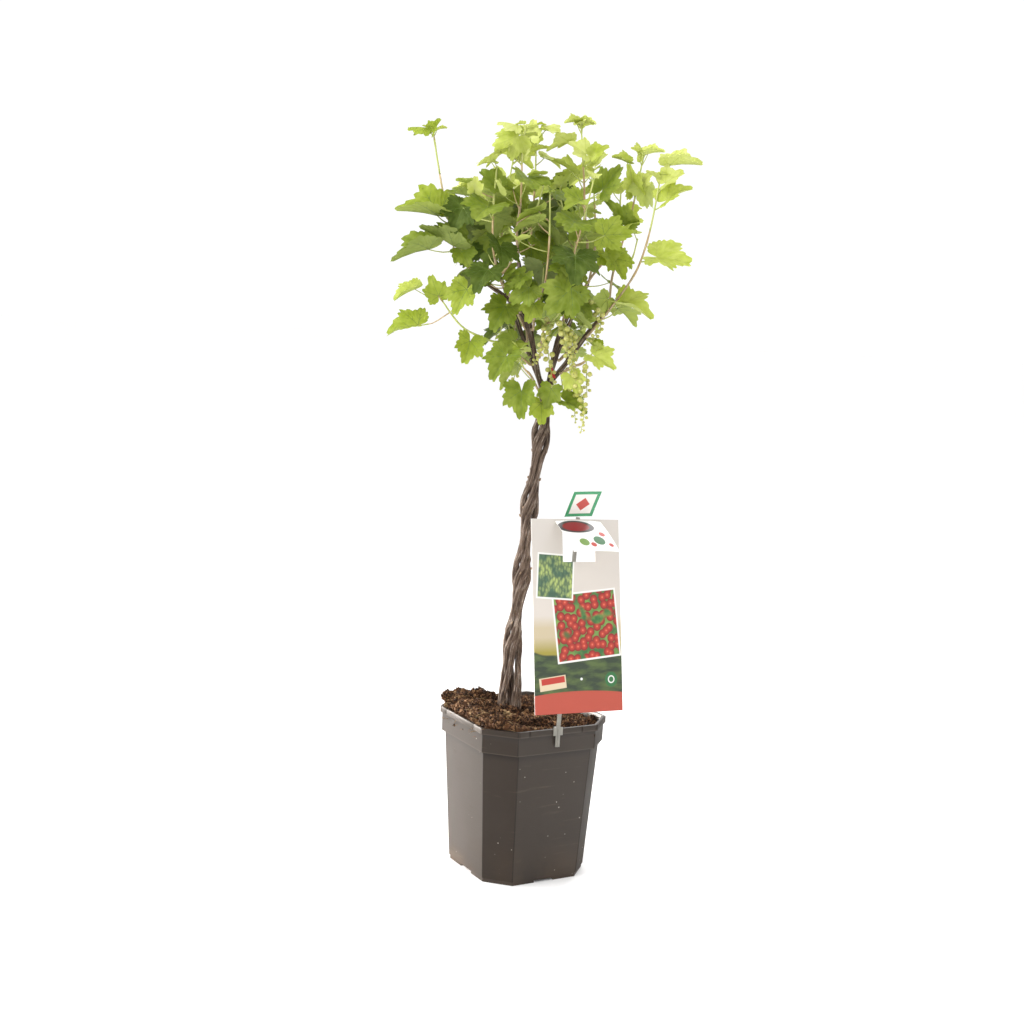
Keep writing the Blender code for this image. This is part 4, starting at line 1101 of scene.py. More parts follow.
@dataclass
class Growth:
    """Grows every mass by one seeded rule. What would touch a limb or another mass is left out."""

    limbs: Sequence[tuple[list[Vector], list[float]]]
    twig_radius: float = 0.0017
    twig_tip_radius: float = 0.0010
    twig_step: float = 0.034
    twig_start: float = 0.005
    side_share: float = 0.30
    side_turn: float = 80.0
    side_start: tuple = (0.8, 0.6)
    side_reach: float = 0.030
    side_out: float = 0.35
    side_rise: float = 0.034
    side_step: float = 0.022
    side_size: float = 0.8
    side_leaves: int = 4
    side_first: float = 0.45
    blade_thick: float = 0.0007
    blade_half: tuple = ((114.0, 0.56), (48.0, 0.86), (24.0, 0.72))
    blade_fold: float = 0.30
    blade_arch: float = 0.16
    blade_vary: tuple = (0.88, 1.08)
    stalk_half: float = 0.0007
    stalk_sunk: float = 0.30
    stalk_vary: tuple = (0.85, 1.15)
    leaf_shift: float = 0.3
    last_leaf: float = 0.985
    leaf_turn: float = 144.0
    turn_vary: float = 0.3
    tries: int = 7
    next_turn: float = 47.0
    shrink: float = 0.95
    clear: float = 0.0004
    out_share: float = 0.80
    along_share: float = 0.35
    lift: float = 0.40
    droop: tuple = (-0.10, 0.30)
    old_droop: float = 0.45
    roll: float = 0.45
    young_from: float = 0.45
    young_blade: float = 0.68
    young_stalk: float = 0.32
    string_radius: float = 0.0008
    string_step: float = 0.016
    string_bends: tuple = (0.25, 0.65)
    string_arch: float = 0.12
    fruit_from: float = 0.22
    fruit_radius: float = 0.0047
    fruit_vary: tuple = (0.92, 1.08)
    fruit_taper: float = 0.42
    fruit_side: float = 0.65
    fruit_turn: float = 137.0
    masses: dict = field(default_factory=dict)
    taken: list = field(default_factory=list)

    def __post_init__(self) -> None:
        """Make what a touch of a limb is tested with."""
        self.walls = [
            self.solid(plain_tube(path, [radius + self.clear for radius in radii], 6))
            for path, radii in self.limbs
        ]

    @staticmethod
    def solid(shape: Shape) -> tuple:
        """Return a tree of faces, and a ball round them."""
        points, faces = shape
        middle = sum(points, Vector()) / len(points)
        return BVHTree.FromPolygons(points, faces), middle, max((point - middle).length for point in points)

    @staticmethod
    def touch(one: tuple, others: Iterable[tuple]) -> bool:
        """Return whether one solid touches any of the others."""
        tree, middle, reach = one
        return any((middle - o[1]).length < reach + o[2] and tree.overlap(o[0]) for o in others)

    def clear_of_others(self, solid: tuple, name: str) -> bool:
        """Return whether a solid of this mass touches no limb and no other mass."""
        others = [o for owner, o in self.taken if owner != name]
        return not self.touch(solid, self.walls) and not self.touch(solid, others)

    def plate(self, leaf: Leaf, thick: float, wide: float) -> Shape:
        """Return a leaf as one bent plate, with its stalk.

        Args:
            leaf: The leaf.
            thick: The plate's thickness.
            wide: The stalk's half width.

        Returns:
            The plate's shape.
        """
        across = leaf.up.cross(leaf.ahead).normalized()
        normal = leaf.ahead.cross(across).normalized()
        place, joint = leaf.place, leaf.joint
        way = (joint - place).normalized()
        stalk_across = (across - way * across.dot(way)).normalized()
        stalk_normal = way.cross(stalk_across)
        joint_normal = (normal + stalk_normal).normalized()
        right_half = [(-angle, reach) for angle, reach in self.blade_half]
        left_half = list(reversed(self.blade_half))
        rim = [(place + stalk_across * side * wide, stalk_normal) for side in (1, -1)]
        rim.append((joint - across * wide, joint_normal))
        for angle, reach in [*right_half, (0.0, 1.0), *left_half]:
            x, y = math.cos(math.radians(angle)) * reach, math.sin(math.radians(angle)) * reach
            lift = self.blade_fold * abs(y) - self.blade_arch * x * abs(x)
            rim.append((joint + (leaf.ahead * x + across * y + normal * lift) * leaf.length, normal))
        rim.append((joint + across * wide, joint_normal))
        count = len(rim)
        last, tip = count - 1, 3 + len(self.blade_half)
        points = [point + out * thick * half for half in (0.5, -0.5) for point, out in rim]
        top = [(0, 1, 2), (0, 2, last), (2, tip, last)]
        top += [(2, k, k + 1) for k in range(3, tip)]
        top += [(last, k, k + 1) for k in range(tip, last - 1)]
        faces: list[tuple[int, ...]] = list(top)
        faces += [(count + a, count + c, count + b) for a, b, c in top]
        faces += [((k + 1) % count, k, count + k, count + (k + 1) % count) for k in range(count)]
        return points, faces

    @staticmethod
    def ball(place: Vector, radius: float) -> Shape:
        """Return a round fruit."""
        shape = bmesh.new()
        bmesh.ops.create_icosphere(shape, subdivisions=1, radius=radius, matrix=Matrix.Translation(place))
        points = [vert.co.copy() for vert in shape.verts]
        faces = [tuple(vert.index for vert in face.verts) for face in shape.faces]
        shape.free()
        return points, faces

    def add_twig(self, name: str, path: list[Vector], root: float, tip: float) -> bool:
        """Add a twig, unless it touches something past its first step."""
        radii = taper(len(path), root, tip)
        wide = [radius + self.clear for radius in radii]
        if not self.clear_of_others(self.solid(plain_tube(path[1:], wide[1:], 3)), name):
            return False
        self.taken.append((name, self.solid(plain_tube(path, wide, 3))))
        self.masses[name].twigs.append((path, radii))
        return True

    def add_leaf(
        self,
        name: str,
        rng: random.Random,
        place: Vector,
        stem_way: Vector,
        turn: float,
        length: float,
        stalk: float,
        age: float,
    ) -> None:
        """Add a leaf: it is tried at a few turns, smaller each time, and then left out.

        Args:
            name: The mass it belongs to.
            rng: The mass's own random numbers.
            place: Where its stalk leaves the twig.
            stem_way: The twig's direction there.
            turn: Its turn round the twig.
            length: The blade's length.
            stalk: The stalk's length.
            age: From 0, the youngest, to 1.
        """
        for _ in range(self.tries):
            out = square_to(stem_way, turn + rng.uniform(-self.turn_vary, self.turn_vary))
            way = out * self.out_share + stem_way * self.along_share + UP * self.lift
            way.normalize()
            level = Vector((way.x, way.y, 0.0)).normalized()
            droop = rng.uniform(*self.droop) + self.old_droop * age
            ahead = (level * math.cos(droop) - UP * math.sin(droop)).normalized()
            roll = rng.uniform(-self.roll, self.roll)
            up = (UP + ahead.cross(UP) * roll).normalized()
            joint = place + way * stalk
            start = place.lerp(joint, self.stalk_sunk)
            thick, wide = self.blade_thick + 2 * self.clear, self.stalk_half + self.clear
            test = self.solid(self.plate(Leaf(start, joint, ahead, up, length, age), thick, wide))
            if not self.touch(test, self.walls) and not self.touch(test, [o for _, o in self.taken]):
                self.taken.append((name, test))
                self.masses[name].leaves.append(Leaf(place, joint, ahead, up, length, age))
                return
            turn += math.radians(self.next_turn)
            length *= self.shrink

    def add_string(
        self, name: str, rng: random.Random, place: Vector, hang: Sequence[float], berries: int
    ) -> None:
        """Add a string of fruit: its stalk leaves the twig sideways and bends down, with fruit round it."""
        tip = place + from_front(hang)
        bend = place.lerp(tip, self.string_bends[0]) + Vector((0, 0, -hang[2] * self.string_arch))
        stalk = curve_through([place, bend, place.lerp(tip, self.string_bends[1]), tip], self.string_step)
        balls = []
        for k in range(berries):
            share = self.fruit_from + (1.0 - self.fruit_from) * k / (berries - 1)
            centre, way = along(stalk, share)
            radius = self.fruit_radius * (1.0 - self.fruit_taper * share) * rng.uniform(*self.fruit_vary)
            out = square_to(way, k * math.radians(self.fruit_turn))
            balls.append((centre + out * radius * self.fruit_side, radius))
        tests = [self.solid(self.ball(centre, radius + self.clear)) for centre, radius in balls]
        wide = [self.string_radius + self.clear] * (len(stalk) - 1)
        tests.append(self.solid(plain_tube(stalk[1:], wide, 3)))
        if all(self.clear_of_others(test, name) for test in tests):
            self.taken += [(name, test) for test in tests]
            self.masses[name].strings.append((stalk, len(balls)))

    def start(self, shoot: Shoot, boughs: Mapping[str, tuple]) -> list[Vector]:
        """Grow a shoot's main twig from its bough.

        Args:
            shoot: The shoot.
            boughs: Each bough's path and radii by name.

        Returns:
            The twig's path.
        """
        self.masses[shoot.name] = Mass()
        bough, radii = boughs[shoot.bough]
        centre, way = along(bough, shoot.share)
        points = [from_front(point) for point in shoot.path]
        if shoot.share < 1.0:
            out = points[0] - centre
            way = (out - way * out.dot(way)).normalized()
            centre = centre + way * (radii[0] + (radii[-1] - radii[0]) * shoot.share)
        points = [centre + way * GAP, centre + way * self.twig_start, *points]
        path = curve_through(points, self.twig_step)
        self.add_twig(shoot.name, path, self.twig_radius, self.twig_tip_radius)
        return path

    def hang_fruit(self, shoot: Shoot, path: list[Vector], rng: random.Random) -> None:
        """Add the strings of fruit of one shoot."""
        for share, hang, berries in shoot.strings:
            place, _ = along(path, share)
            self.add_string(shoot.name, rng, place, hang, berries)

    def fill(self, shoot: Shoot, path: list[Vector], rng: random.Random) -> None:
        """Add the side twigs and leaves of one shoot."""
        twigs = [(path, shoot.leaves, shoot.first)]
        for k in range(shoot.side_twigs):
            root, way = along(path, self.side_share * (k + 1))
            out = square_to(way, math.radians(shoot.turn + self.side_turn))
            bend = root + (out * self.side_start[0] + way * self.side_start[1]) * self.side_reach
            tip = bend + (out * self.side_out + UP) * self.side_rise
            twig = curve_through([root, bend, tip], self.side_step)
            ends = self.twig_radius * self.side_size, self.twig_tip_radius * self.side_size
            if self.add_twig(shoot.name, twig, *ends):
                twigs.append((twig, self.side_leaves, self.side_first))
        for twig, count, first in twigs:
            for k in range(count):
                share = first + (1.0 - first) * (k + self.leaf_shift) / (count - 1 + 2 * self.leaf_shift)
                if shoot.bare[0] < share < shoot.bare[1]:
                    continue
                young = smooth((share - self.young_from) / (1.0 - self.young_from))
                place, way = along(twig, min(share, self.last_leaf))
                turn = math.radians(shoot.turn + k * self.leaf_turn)
                length = shoot.blade * (1.0 - (1.0 - self.young_blade) * young)
                length *= rng.uniform(*self.blade_vary)
                stalk = shoot.stalk * (1.0 - (1.0 - self.young_stalk) * young)
                stalk *= rng.uniform(*self.stalk_vary)
                self.add_leaf(shoot.name, rng, place, way, turn, length, stalk, 1.0 - young)

    def grow(self, boughs: Mapping[str, tuple]) -> None:
        """Grow every mass on its bough."""
        mains = [self.start(shoot, boughs) for shoot in SHOOTS]
        rngs = [random.Random(seed + 1) for seed in range(len(SHOOTS))]
        for step in (self.hang_fruit, self.fill):
            for shoot, path, rng in zip(SHOOTS, mains, rngs):
                step(shoot, path, rng)


# Leaves


class Tone(Enum):
    """A leaf's colour, from its age and from painted light and shade where it stands."""

    TIP = 0
    YOUNG = 1
    MIDDLE = 2
    OLD = 3
    DEEP = 4


LEAF_TOPS = {
    Tone.TIP: ((0.59, 0.64, 0.165), (0.74, 0.77, 0.33), (0.78, 0.83, 0.24)),
    Tone.YOUNG: ((0.45, 0.52, 0.088), (0.62, 0.67, 0.195), (0.70, 0.77, 0.15)),
    Tone.MIDDLE: ((0.290, 0.370, 0.036), (0.445, 0.515, 0.095), (0.58, 0.66, 0.072)),
    Tone.OLD: ((0.168, 0.232, 0.019), (0.330, 0.395, 0.068), (0.44, 0.53, 0.048)),
    Tone.DEEP: ((0.060, 0.100, 0.009), (0.145, 0.200, 0.034), (0.23, 0.31, 0.027)),
}
TIP, YOUNG, MIDDLE, OLD, DEEP = Tone


@dataclass(frozen=True)
class PlacedLeaf:
    """One leaf set by eye in the front view.

    Attributes:
        root: The back of its blade as (right, away, up) in millimetres.
        tip: Its tip as (right, away, up) in millimetres.
        face: 1 with its top to the viewer, 0 with its top up, -1 with its top away from the viewer.
        fold: How steeply its halves rise from the midrib.
        tone: Its colour, from its age and painted light and shade.
    """

    root: tuple
    tip: tuple
    face: float
    fold: float
    tone: Tone


# The rows of PlacedLeaf by shoot.
PLACED = {
    "left_tall": (
        ((-157, -12, 978), (-186, -16, 981), 0.30, -0.90, MIDDLE),
        ((-155, -10, 970), (-145, -20, 990), 0.60, 0.90, MIDDLE),
        ((-128, -14, 864), (-197, -20, 880), 0.32, 1.40, MIDDLE),
        ((-110, -14, 823), (-163, -30, 856), 0.40, 1.10, OLD),
        ((-139, -16, 826), (-201, -30, 816), 0.36, 1.00, OLD),
        ((-139, -10, 873), (-118, -30, 871), 0.50, 0.60, MIDDLE),
        ((-126, -12, 862), (-104, -30, 846), 0.60, 0.45, OLD),
        ((-112, -12, 828), (-98, -35, 806), 0.70, 0.40, OLD),
    ),
    "front_left": (
        ((-106, -30, 885), (-122, -50, 851), 0.90, 0.25, DEEP),
        ((-101, -50, 891), (-130, -60, 897), 0.30, 0.60, OLD),
        ((-88, -60, 902), (-119, -65, 913), 0.30, 0.60, MIDDLE),
        ((-62, -58, 902), (-88, -60, 926), 0.50, 0.60, OLD),
        ((-95, -70, 894), (-93, -80, 914), 0.70, 0.50, TIP),
        ((-57, -30, 793), (-37, -30, 814), 0.80, 0.40, OLD),
        ((-78, -30, 825), (-62, -34, 806), 0.80, 0.40, DEEP),
    ),
    "front_centre": (
        ((-62, -75, 894), (-67, -90, 912), 0.50, 0.60, TIP),
        ((-35, -50, 973), (-74, -60, 955), 0.60, -0.35, YOUNG),
        ((-43, -45, 940), (-41, -50, 969), 0.80, 0.40, TIP),
        ((-39, -50, 981), (-70, -55, 989), 0.35, -0.25, TIP),
    ),
    "centre_top": (
        ((-28, 15, 970), (-24, 10, 999), 0.80, 0.40, TIP),
        ((-24, 15, 956), (-2, 5, 969), 0.35, 0.50, TIP),
        ((-16, 15, 986), (18, 5, 983), 0.05, 0.40, TIP),
        ((16, 30, 887), (15, 20, 930), 1.00, 0.30, DEEP),
    ),
    "front_middle": (
        ((-38, -95, 836), (-37, -130, 843), 0.20, 0.60, YOUNG),
        ((39, -90, 790), (5, -100, 750), 0.95, 0.20, OLD),
        ((-11, -60, 766), (-21, -70, 738), 0.90, 0.30, MIDDLE),
        ((-15, -70, 785), (-43, -80, 761), 0.80, 0.30, OLD),
    ),
    "right_centre": (
        ((35, -2, 994), (55, -12, 999), 0.30, 1.10, TIP),
        ((35, -2, 994), (16, -12, 998), 0.30, 1.10, TIP),
        ((35, -2, 992), (40, -20, 998), 0.50, 0.60, TIP),
        ((52, -10, 951), (72, -20, 967), 0.45, 0.80, YOUNG),
        ((50, -10, 951), (23, -16, 971), 0.45, 0.80, TIP),
        ((33, -10, 928), (5, -20, 949), 0.45, 0.90, YOUNG),
        ((56, -10, 934), (55, -32, 940), 0.30, 0.60, TIP),
        ((64, -10, 905), (90, -20, 942), 0.70, 1.10, OLD),
    ),
    "right_tall": (
        ((105, 16, 947), (81, 6, 959), 0.40, 1.20, YOUNG),
        ((121, 18, 959), (146, 8, 971), 0.35, 0.80, TIP),
        ((116, 18, 962), (104, 10, 969), 0.40, 0.70, TIP),
        ((113, 10, 912), (101, -10, 943), 0.60, 1.30, YOUNG),
        ((115, 10, 917), (132, 0, 938), 0.55, 0.80, TIP),
        ((131, 6, 928), (119, -10, 889), -0.80, 0.40, YOUNG),
        ((101, -10, 862), (78, -30, 897), 0.50, 1.50, OLD),
        ((99, -8, 867), (117, -30, 875), 0.55, 0.60, YOUNG),
        ((74, 0, 835), (87, -20, 812), 0.80, 0.35, MIDDLE),
        ((86, 0, 830), (103, -20, 800), 0.75, 0.60, MIDDLE),
    ),
    "far_right": (
        ((140, -36, 940), (192, -45, 953), 0.32, 0.70, TIP),
        ((142, -36, 917), (167, -50, 937), 0.50, 0.70, TIP),
        ((144, -36, 894), (174, -50, 921), 0.50, 0.85, YOUNG),
        ((131, -34, 828), (185, -50, 826), 0.45, 0.50, YOUNG),
        ((92, -20, 766), (138, -50, 762), 0.45, 0.60, YOUNG),
        ((87, -30, 776), (64, -35, 753), -0.80, 0.30, MIDDLE),
    ),
    "front_right": (
        ((64, -50, 850), (106, -65, 855), 0.65, 0.50, MIDDLE),
    ),
    "right_low": (
        ((62, -45, 700), (95, -60, 687), 0.55, 0.55, YOUNG),
        ((37, -45, 676), (50, -60, 650), 0.85, 0.50, YOUNG),
        ((27, -40, 640), (63, -50, 628), 0.55, 0.50, OLD),
    ),
    "front_low": (
        ((16, -45, 659), (9, -60, 629), 0.85, 0.50, OLD),
        ((2, -45, 641), (5, -55, 606), 0.85, 0.60, MIDDLE),
        ((-23, -45, 657), (-24, -65, 616), 0.80, 0.60, OLD),
        ((-40, -45, 699), (-64, -65, 664), 0.80, 0.70, OLD),
        ((-29, -30, 716), (-56, -40, 696), 0.80, 0.30, OLD),
    ),
    "left_low": (
        ((-45, -30, 762), (-66, -50, 728), 0.90, 0.30, OLD),
        ((-92, -16, 716), (-99, -30, 680), 0.80, 0.50, MIDDLE),
        ((-152, -16, 726), (-203, -20, 725), 0.20, 0.65, MIDDLE),
        ((-134, -16, 759), (-149, -25, 790), 0.70, 0.50, MIDDLE),
        ((-160, -16, 775), (-197, -20, 762), 0.24, 0.50, YOUNG),
        ((-96, -30, 782), (-116, -50, 746), 0.75, 0.55, MIDDLE),
    ),
}

# Where the front view shows sky through the crown, as (right, up, reach) in millimetres.
SKY = (
    (-68, 940, 8), (68, 880, 8), (101, 897, 8), (-57, 931, 9), (4, 930, 11), (58, 982, 8), (-96, 747, 12),
    (-76, 730, 8), (72, 946, 9), (90, 913, 14), (71, 891, 9), (118, 844, 13), (126, 866, 9), (144, 856, 9),
    (-128, 738, 14), (-134, 715, 12), (-117, 693, 12), (-84, 737, 8), (87, 717, 9), (89, 677, 11),
    (68, 666, 8), (-138, 828, 9),
)

# The stalks of the fruit strings that hang in the open fork.
HANGING_FRUIT = (
    ((-0.002, -0.030, 0.742), (0.007, -0.040, 0.738), (0.001, -0.044, 0.708), (-0.009, -0.042, 0.684)),
    ((0.012, -0.040, 0.742), (0.025, -0.050, 0.735), (0.034, -0.050, 0.700), (0.047, -0.050, 0.668)),
    ((0.018, -0.036, 0.735), (0.033, -0.044, 0.730), (0.040, -0.042, 0.712), (0.042, -0.042, 0.690)),
    ((0.052, -0.020, 0.770), (0.064, -0.040, 0.764), (0.074, -0.044, 0.735), (0.056, -0.040, 0.712)),
    ((0.040, -0.040, 0.682), (0.048, -0.052, 0.664), (0.058, -0.052, 0.628), (0.056, -0.052, 0.600)),
)


@dataclass
class Blade:
    """One lobed, toothed blade of length 1, kept as arrays and bent to each leaf.

    Attributes:
        lobes: The outline's (angle in degrees, reach) from the tip to the root, one side.
        teeth: How many teeth one side has.
        tooth: How far a tooth stands out, as a share of the reach.
        small_veins: Whether the lobes' side veins are made.
    """

    lobes: tuple
    teeth: int
    tooth: float
    small_veins: bool
    ways: tuple = (0.0, 50.0, 100.0)
    back: float = 160.0
    rings: tuple = (0.36, 0.72)
    vein_half: float = 0.0085

    def __post_init__(self) -> None:
        """Lay out the sheet and its veins."""
        self.sheet = self._sheet()
        self.veins = self._veins()

    def reach(self, angle: float) -> float:
        """Return the outline's distance from the joint at this angle, without its teeth."""
        angle = abs(angle)
        for (low, start), (high, end) in zip(self.lobes, self.lobes[1:]):
            if angle <= high:
                t = (angle - low) / (high - low)
                return start + (end - start) * t
        return self.lobes[-1][1]

    def _sheet(self) -> tuple[np.ndarray, np.ndarray]:
        """Return the blade's (x, y) points and its triangles."""
        coarse = self.teeth * 2
        points = [(0.0, 0.0)]
        for share in self.rings:
            for k in range(coarse + 1):
                points.append(self._at(self.back * (2.0 * k / coarse - 1.0), share))
        fine = coarse * 3
        for k in range(fine + 1):
            angle = self.back * (2.0 * k / fine - 1.0)
            bite = (-1.0, 0.45, 0.85)[k % 3] * self.tooth * (0.65, 1.0, 0.8, 1.25, 0.9)[k // 3 % 5]
            points.append(self._at(angle, 1.0 + bite))
        faces = [(0, k + 2, k + 1) for k in range(coarse)]
        inner, outer, rim = 1, 2 + coarse, 3 + 2 * coarse
        for k in range(coarse):
            a, b, c, d = inner + k, inner + k + 1, outer + k + 1, outer + k
            faces += [(a, b, c), (a, c, d)]
            f = rim + 3 * k
            faces += [(d, f + 1, f), (d, c, f + 1), (c, f + 2, f + 1), (c, f + 3, f + 2)]
        order = [(a, c, b) for a, b, c in faces[:coarse]] + faces[coarse:]
        return np.array(points), self._upward(np.array(points), np.array(order))

    @staticmethod
    def _upward(points: np.ndarray, faces: np.ndarray) -> np.ndarray:
        """Return the triangles, each turned so that it faces up."""
        a, b, c = (points[faces[:, k]] for k in range(3))
        area = (b[:, 0] - a[:, 0]) * (c[:, 1] - a[:, 1]) - (b[:, 1] - a[:, 1]) * (c[:, 0] - a[:, 0])
        return np.where(area[:, None] < 0, faces[:, ::-1], faces)

    def _at(self, angle: float, share: float) -> tuple[float, float]:
        """Return the point at this angle and share of the outline's reach."""
        reach = self.reach(angle) * share
        return math.cos(math.radians(angle)) * reach, math.sin(math.radians(angle)) * reach

    def _veins(self) -> tuple[np.ndarray, np.ndarray]:
        """Return the veins' (x, y) points and triangles."""
        points: list[tuple[float, float]] = []
        faces: list[tuple[int, int, int]] = []
        for way in sorted({side * way for way in self.ways for side in (-1, 1)}):
            end = Vector(self._at(way, 0.90))
            self._strip(points, faces, Vector((0.0, 0.0)), end, self.vein_half, 3)
            if not self.small_veins:
                continue
            for share, side in itertools.product((0.34, 0.58), (-1, 1)):
                root = end * share
                ahead = Matrix.Rotation(math.radians(side * 38.0), 2) @ end.normalized()
                tip = root + ahead * (0.30 - 0.20 * share)
                self._strip(points, faces, root, tip, self.vein_half * 0.55, 1)
        return np.array(points), self._upward(np.array(points), np.array(faces))

    @staticmethod
    def _strip(points: list, faces: list, root: Vector, tip: Vector, half: float, steps: int) -> None:
        """Add one tapering vein from root to tip."""
        side = Vector((root.y - tip.y, tip.x - root.x)).normalized()
        first = len(points)
        for k in range(steps + 1):
            share = k / steps
            middle = root.lerp(tip, share)
            wide = side * half * (1.0 - 0.75 * share)
            points += [tuple(middle - wide), tuple(middle + wide)]
        for k in range(steps):
            a = first + 2 * k
            faces += [(a, a + 1, a + 3), (a, a + 3, a + 2)]


@dataclass
class Bend:
    """How one leaf's blade is bent."""

    fold: float
    arch: float
    cup: float
    pillow: float
    wave: float
    phase: float

    def shape(self, points: np.ndarray, gap: float) -> np.ndarray:
        """Return a blade's (x, y) points as folded and bent, with main veins this many degrees apart."""
        x, y = points[:, 0], points[:, 1]
        reach = np.hypot(x, y)
        angle = np.degrees(np.arctan2(y, x))
        between = np.sin(np.pi * angle / gap) ** 2
        edge = np.sin(np.radians(angle) * 5.0 + self.phase) * self.wave * reach ** 2
        twist = math.sin(self.phase) * 0.14 * x * y
        narrow = 1.0 / math.hypot(1.0, self.fold)
        bent = self.fold * narrow * np.abs(y) - self.arch * x * np.abs(x) - self.cup * y ** 2
        return np.column_stack([x, y * narrow, bent + self.pillow * between * reach + edge + twist])


YOUNG_BLADE = Blade(
    lobes=(
        (0, 1.0), (9, 0.93), (24, 0.71), (37, 0.73), (49, 0.86), (60, 0.74), (77, 0.55), (89, 0.56),
        (101, 0.62), (118, 0.50), (140, 0.35), (160, 0.22),
    ),
    teeth=8,
    tooth=0.065,
    small_veins=False,
)
BROAD_BLADE = Blade(
    lobes=(
        (0, 1.0), (10, 0.94), (25, 0.73), (37, 0.76), (49, 0.91), (60, 0.79), (76, 0.60), (88, 0.62),
        (100, 0.71), (115, 0.61), (133, 0.48), (150, 0.35), (160, 0.27),
    ),
    teeth=11,
    tooth=0.070,
    small_veins=True,
)


@dataclass
class Foliage:
    """The leaves, twigs, stalks and fruit that stand for the masses."""

    growth: Growth
    stalk_radius: float = 0.00075
    sheet_thick: float = 0.00028
    vein_lift: float = 0.00022
    grown_size: float = 0.90
    tuft: tuple = ((0.90, 0.62, 40.0), (0.96, 0.52, 190.0), (0.985, 0.42, 310.0), (1.0, 0.32, 95.0))
    short_tuft: tuple = ((0.97, 0.34, 120.0), (1.0, 0.24, 270.0))
    bud_shares: tuple = (0.55, 0.72)
    bud_blade: float = 0.40
    placed_back: float = 0.20
    placed_drop: float = 0.014
    placed_roll: float = 0.30
    least_veined: float = 0.024
    near_placed: float = 0.014
    seen_twigs: tuple = (
        "left_tall", "front_left", "front_centre", "front_middle", "right_centre", "right_tall",
    )
    seen_half: float = 0.011
    fork_right: tuple = (-0.028, 0.080)
    fork_up: tuple = (0.668, 0.748)
    rim_shoots: tuple = ("left_tall", "left_low", "front_low", "right_low", "far_right", "right_tall")
    turned_away: float = 0.25
    top_from: float = 0.875
    top_full: float = 0.955
    sunny_from: float = 0.060
    fruit_more: float = 2.0
    green_twigs: tuple = ("left_low",)
    hanging_count: int = 22
    fruit_root: float = 0.0044
    fruit_tip: float = 0.0015
    fruit_turn: float = math.radians(137.5)
    pedicel: float = 0.0026
    pedicel_radius: float = 0.0004
    berry_rings: int = 7
    relief_size: float = 0.090
    depth_slack: float = 0.02
    fold: float = 0.24
    fold_young: float = 0.36
    fold_vary: tuple = (-0.08, 0.12)
    arch: float = 0.14
    arch_vary: float = 0.22
    cup: tuple = (-0.10, 0.42)
    pillow: float = 0.060
    wave: tuple = (0.05, 0.11)
    sag: tuple = (0.04, 0.12)
    tone_vary: tuple = (-0.14, 0.16)
    tone_least: tuple = ((TIP, 0.90), (YOUNG, 0.62), (MIDDLE, 0.32), (OLD, 0.05))
    under_pale: Colour = (0.48, 0.54, 0.22)
    under_share: float = 0.38
    under_rough: float = 0.62
    vein_skins: tuple = (
        ("vein_young", (0.50, 0.56, 0.11), (0.44, 0.52, 0.09)),
        ("vein_old", (0.19, 0.27, 0.045), (0.14, 0.22, 0.030)),
    )
    shoot_skins: tuple = (
        ("shoot_green", (0.40, 0.46, 0.10), (0.50, 0.52, 0.18)),
        ("shoot_pink", (0.43, 0.29, 0.14), (0.55, 0.44, 0.23)),
        ("shoot_tan", (0.33, 0.235, 0.130), (0.50, 0.39, 0.25)),
    )
    fruit_end: tuple = ("fruit_end", (0.20, 0.13, 0.04), (0.10, 0.06, 0.02))

    def __post_init__(self) -> None:
        """Note the twigs that the front view shows uncovered, and the middles of the listed leaves."""
        mains = [self.growth.masses[f"foliage_{name}"].twigs[0][0] for name in self.seen_twigs]
        self.seen = [to_front(point) for path in mains for point in curve_through(path, 0.008)]
        placed = itertools.chain(*PLACED.values())
        self.middles = [(Vector(root) + Vector(tip)) / 2000.0 for root, tip, *_ in placed]

    def make(self) -> list[bpy.types.Object]:
        """Build the pieces, each joined by kind and bough."""
        blades = [LeafFinish(f"leaf_{tone.name.lower()}", *LEAF_TOPS[tone]).make() for tone in Tone]
        blades += [self._under(tone) for tone in Tone]
        blades += [ShootFinish(*skin).make() for skin in self.vein_skins]
        shoots = [ShootFinish(*skin).make() for skin in self.shoot_skins]
        fruit = [FruitFinish().make(), ShootFinish(*self.fruit_end).make(), shoots[0]]
        pieces = []
        for bough in BOUGHS:
            group = [shoot for shoot in SHOOTS if shoot.bough == bough]
            side = bough.removeprefix("bough_")
            leaves, twigs, berries = (Heap(f"{kind}_{side}") for kind in ("leaves", "twigs", "fruit"))
            for shoot in group:
                self._dress(shoot, leaves, twigs, berries)
            if bough == "bough_leader":
                for points in HANGING_FRUIT:
                    stalk = [from_front(point) for point in points]
                    self._string(stalk, self.hanging_count, random.Random(points[0][0]), berries)
            made = [leaves.build(blades, "leaf"), twigs.build(shoots, "limb")]
            if berries.count:
                made.append(berries.build(fruit, "fruit"))
            for piece in made:
                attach(piece, "root")
            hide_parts(*(shoot.name for shoot in group))
            LOG.info("foliage %s: %s triangles", side, [len(piece.data.polygons) for piece in made])
            pieces += made
        return pieces

    def _under(self, tone: Tone) -> bpy.types.Material:
        """Return the paler finish of the underside of a leaf of this tone."""
        *tints, glow = LEAF_TOPS[tone]
        paler = [
            tuple(a + (b - a) * self.under_share for a, b in zip(tint, self.under_pale)) for tint in tints
        ]
        return LeafFinish(f"leaf_{tone.name.lower()}_under", *paler, glow, rough=self.under_rough).make()

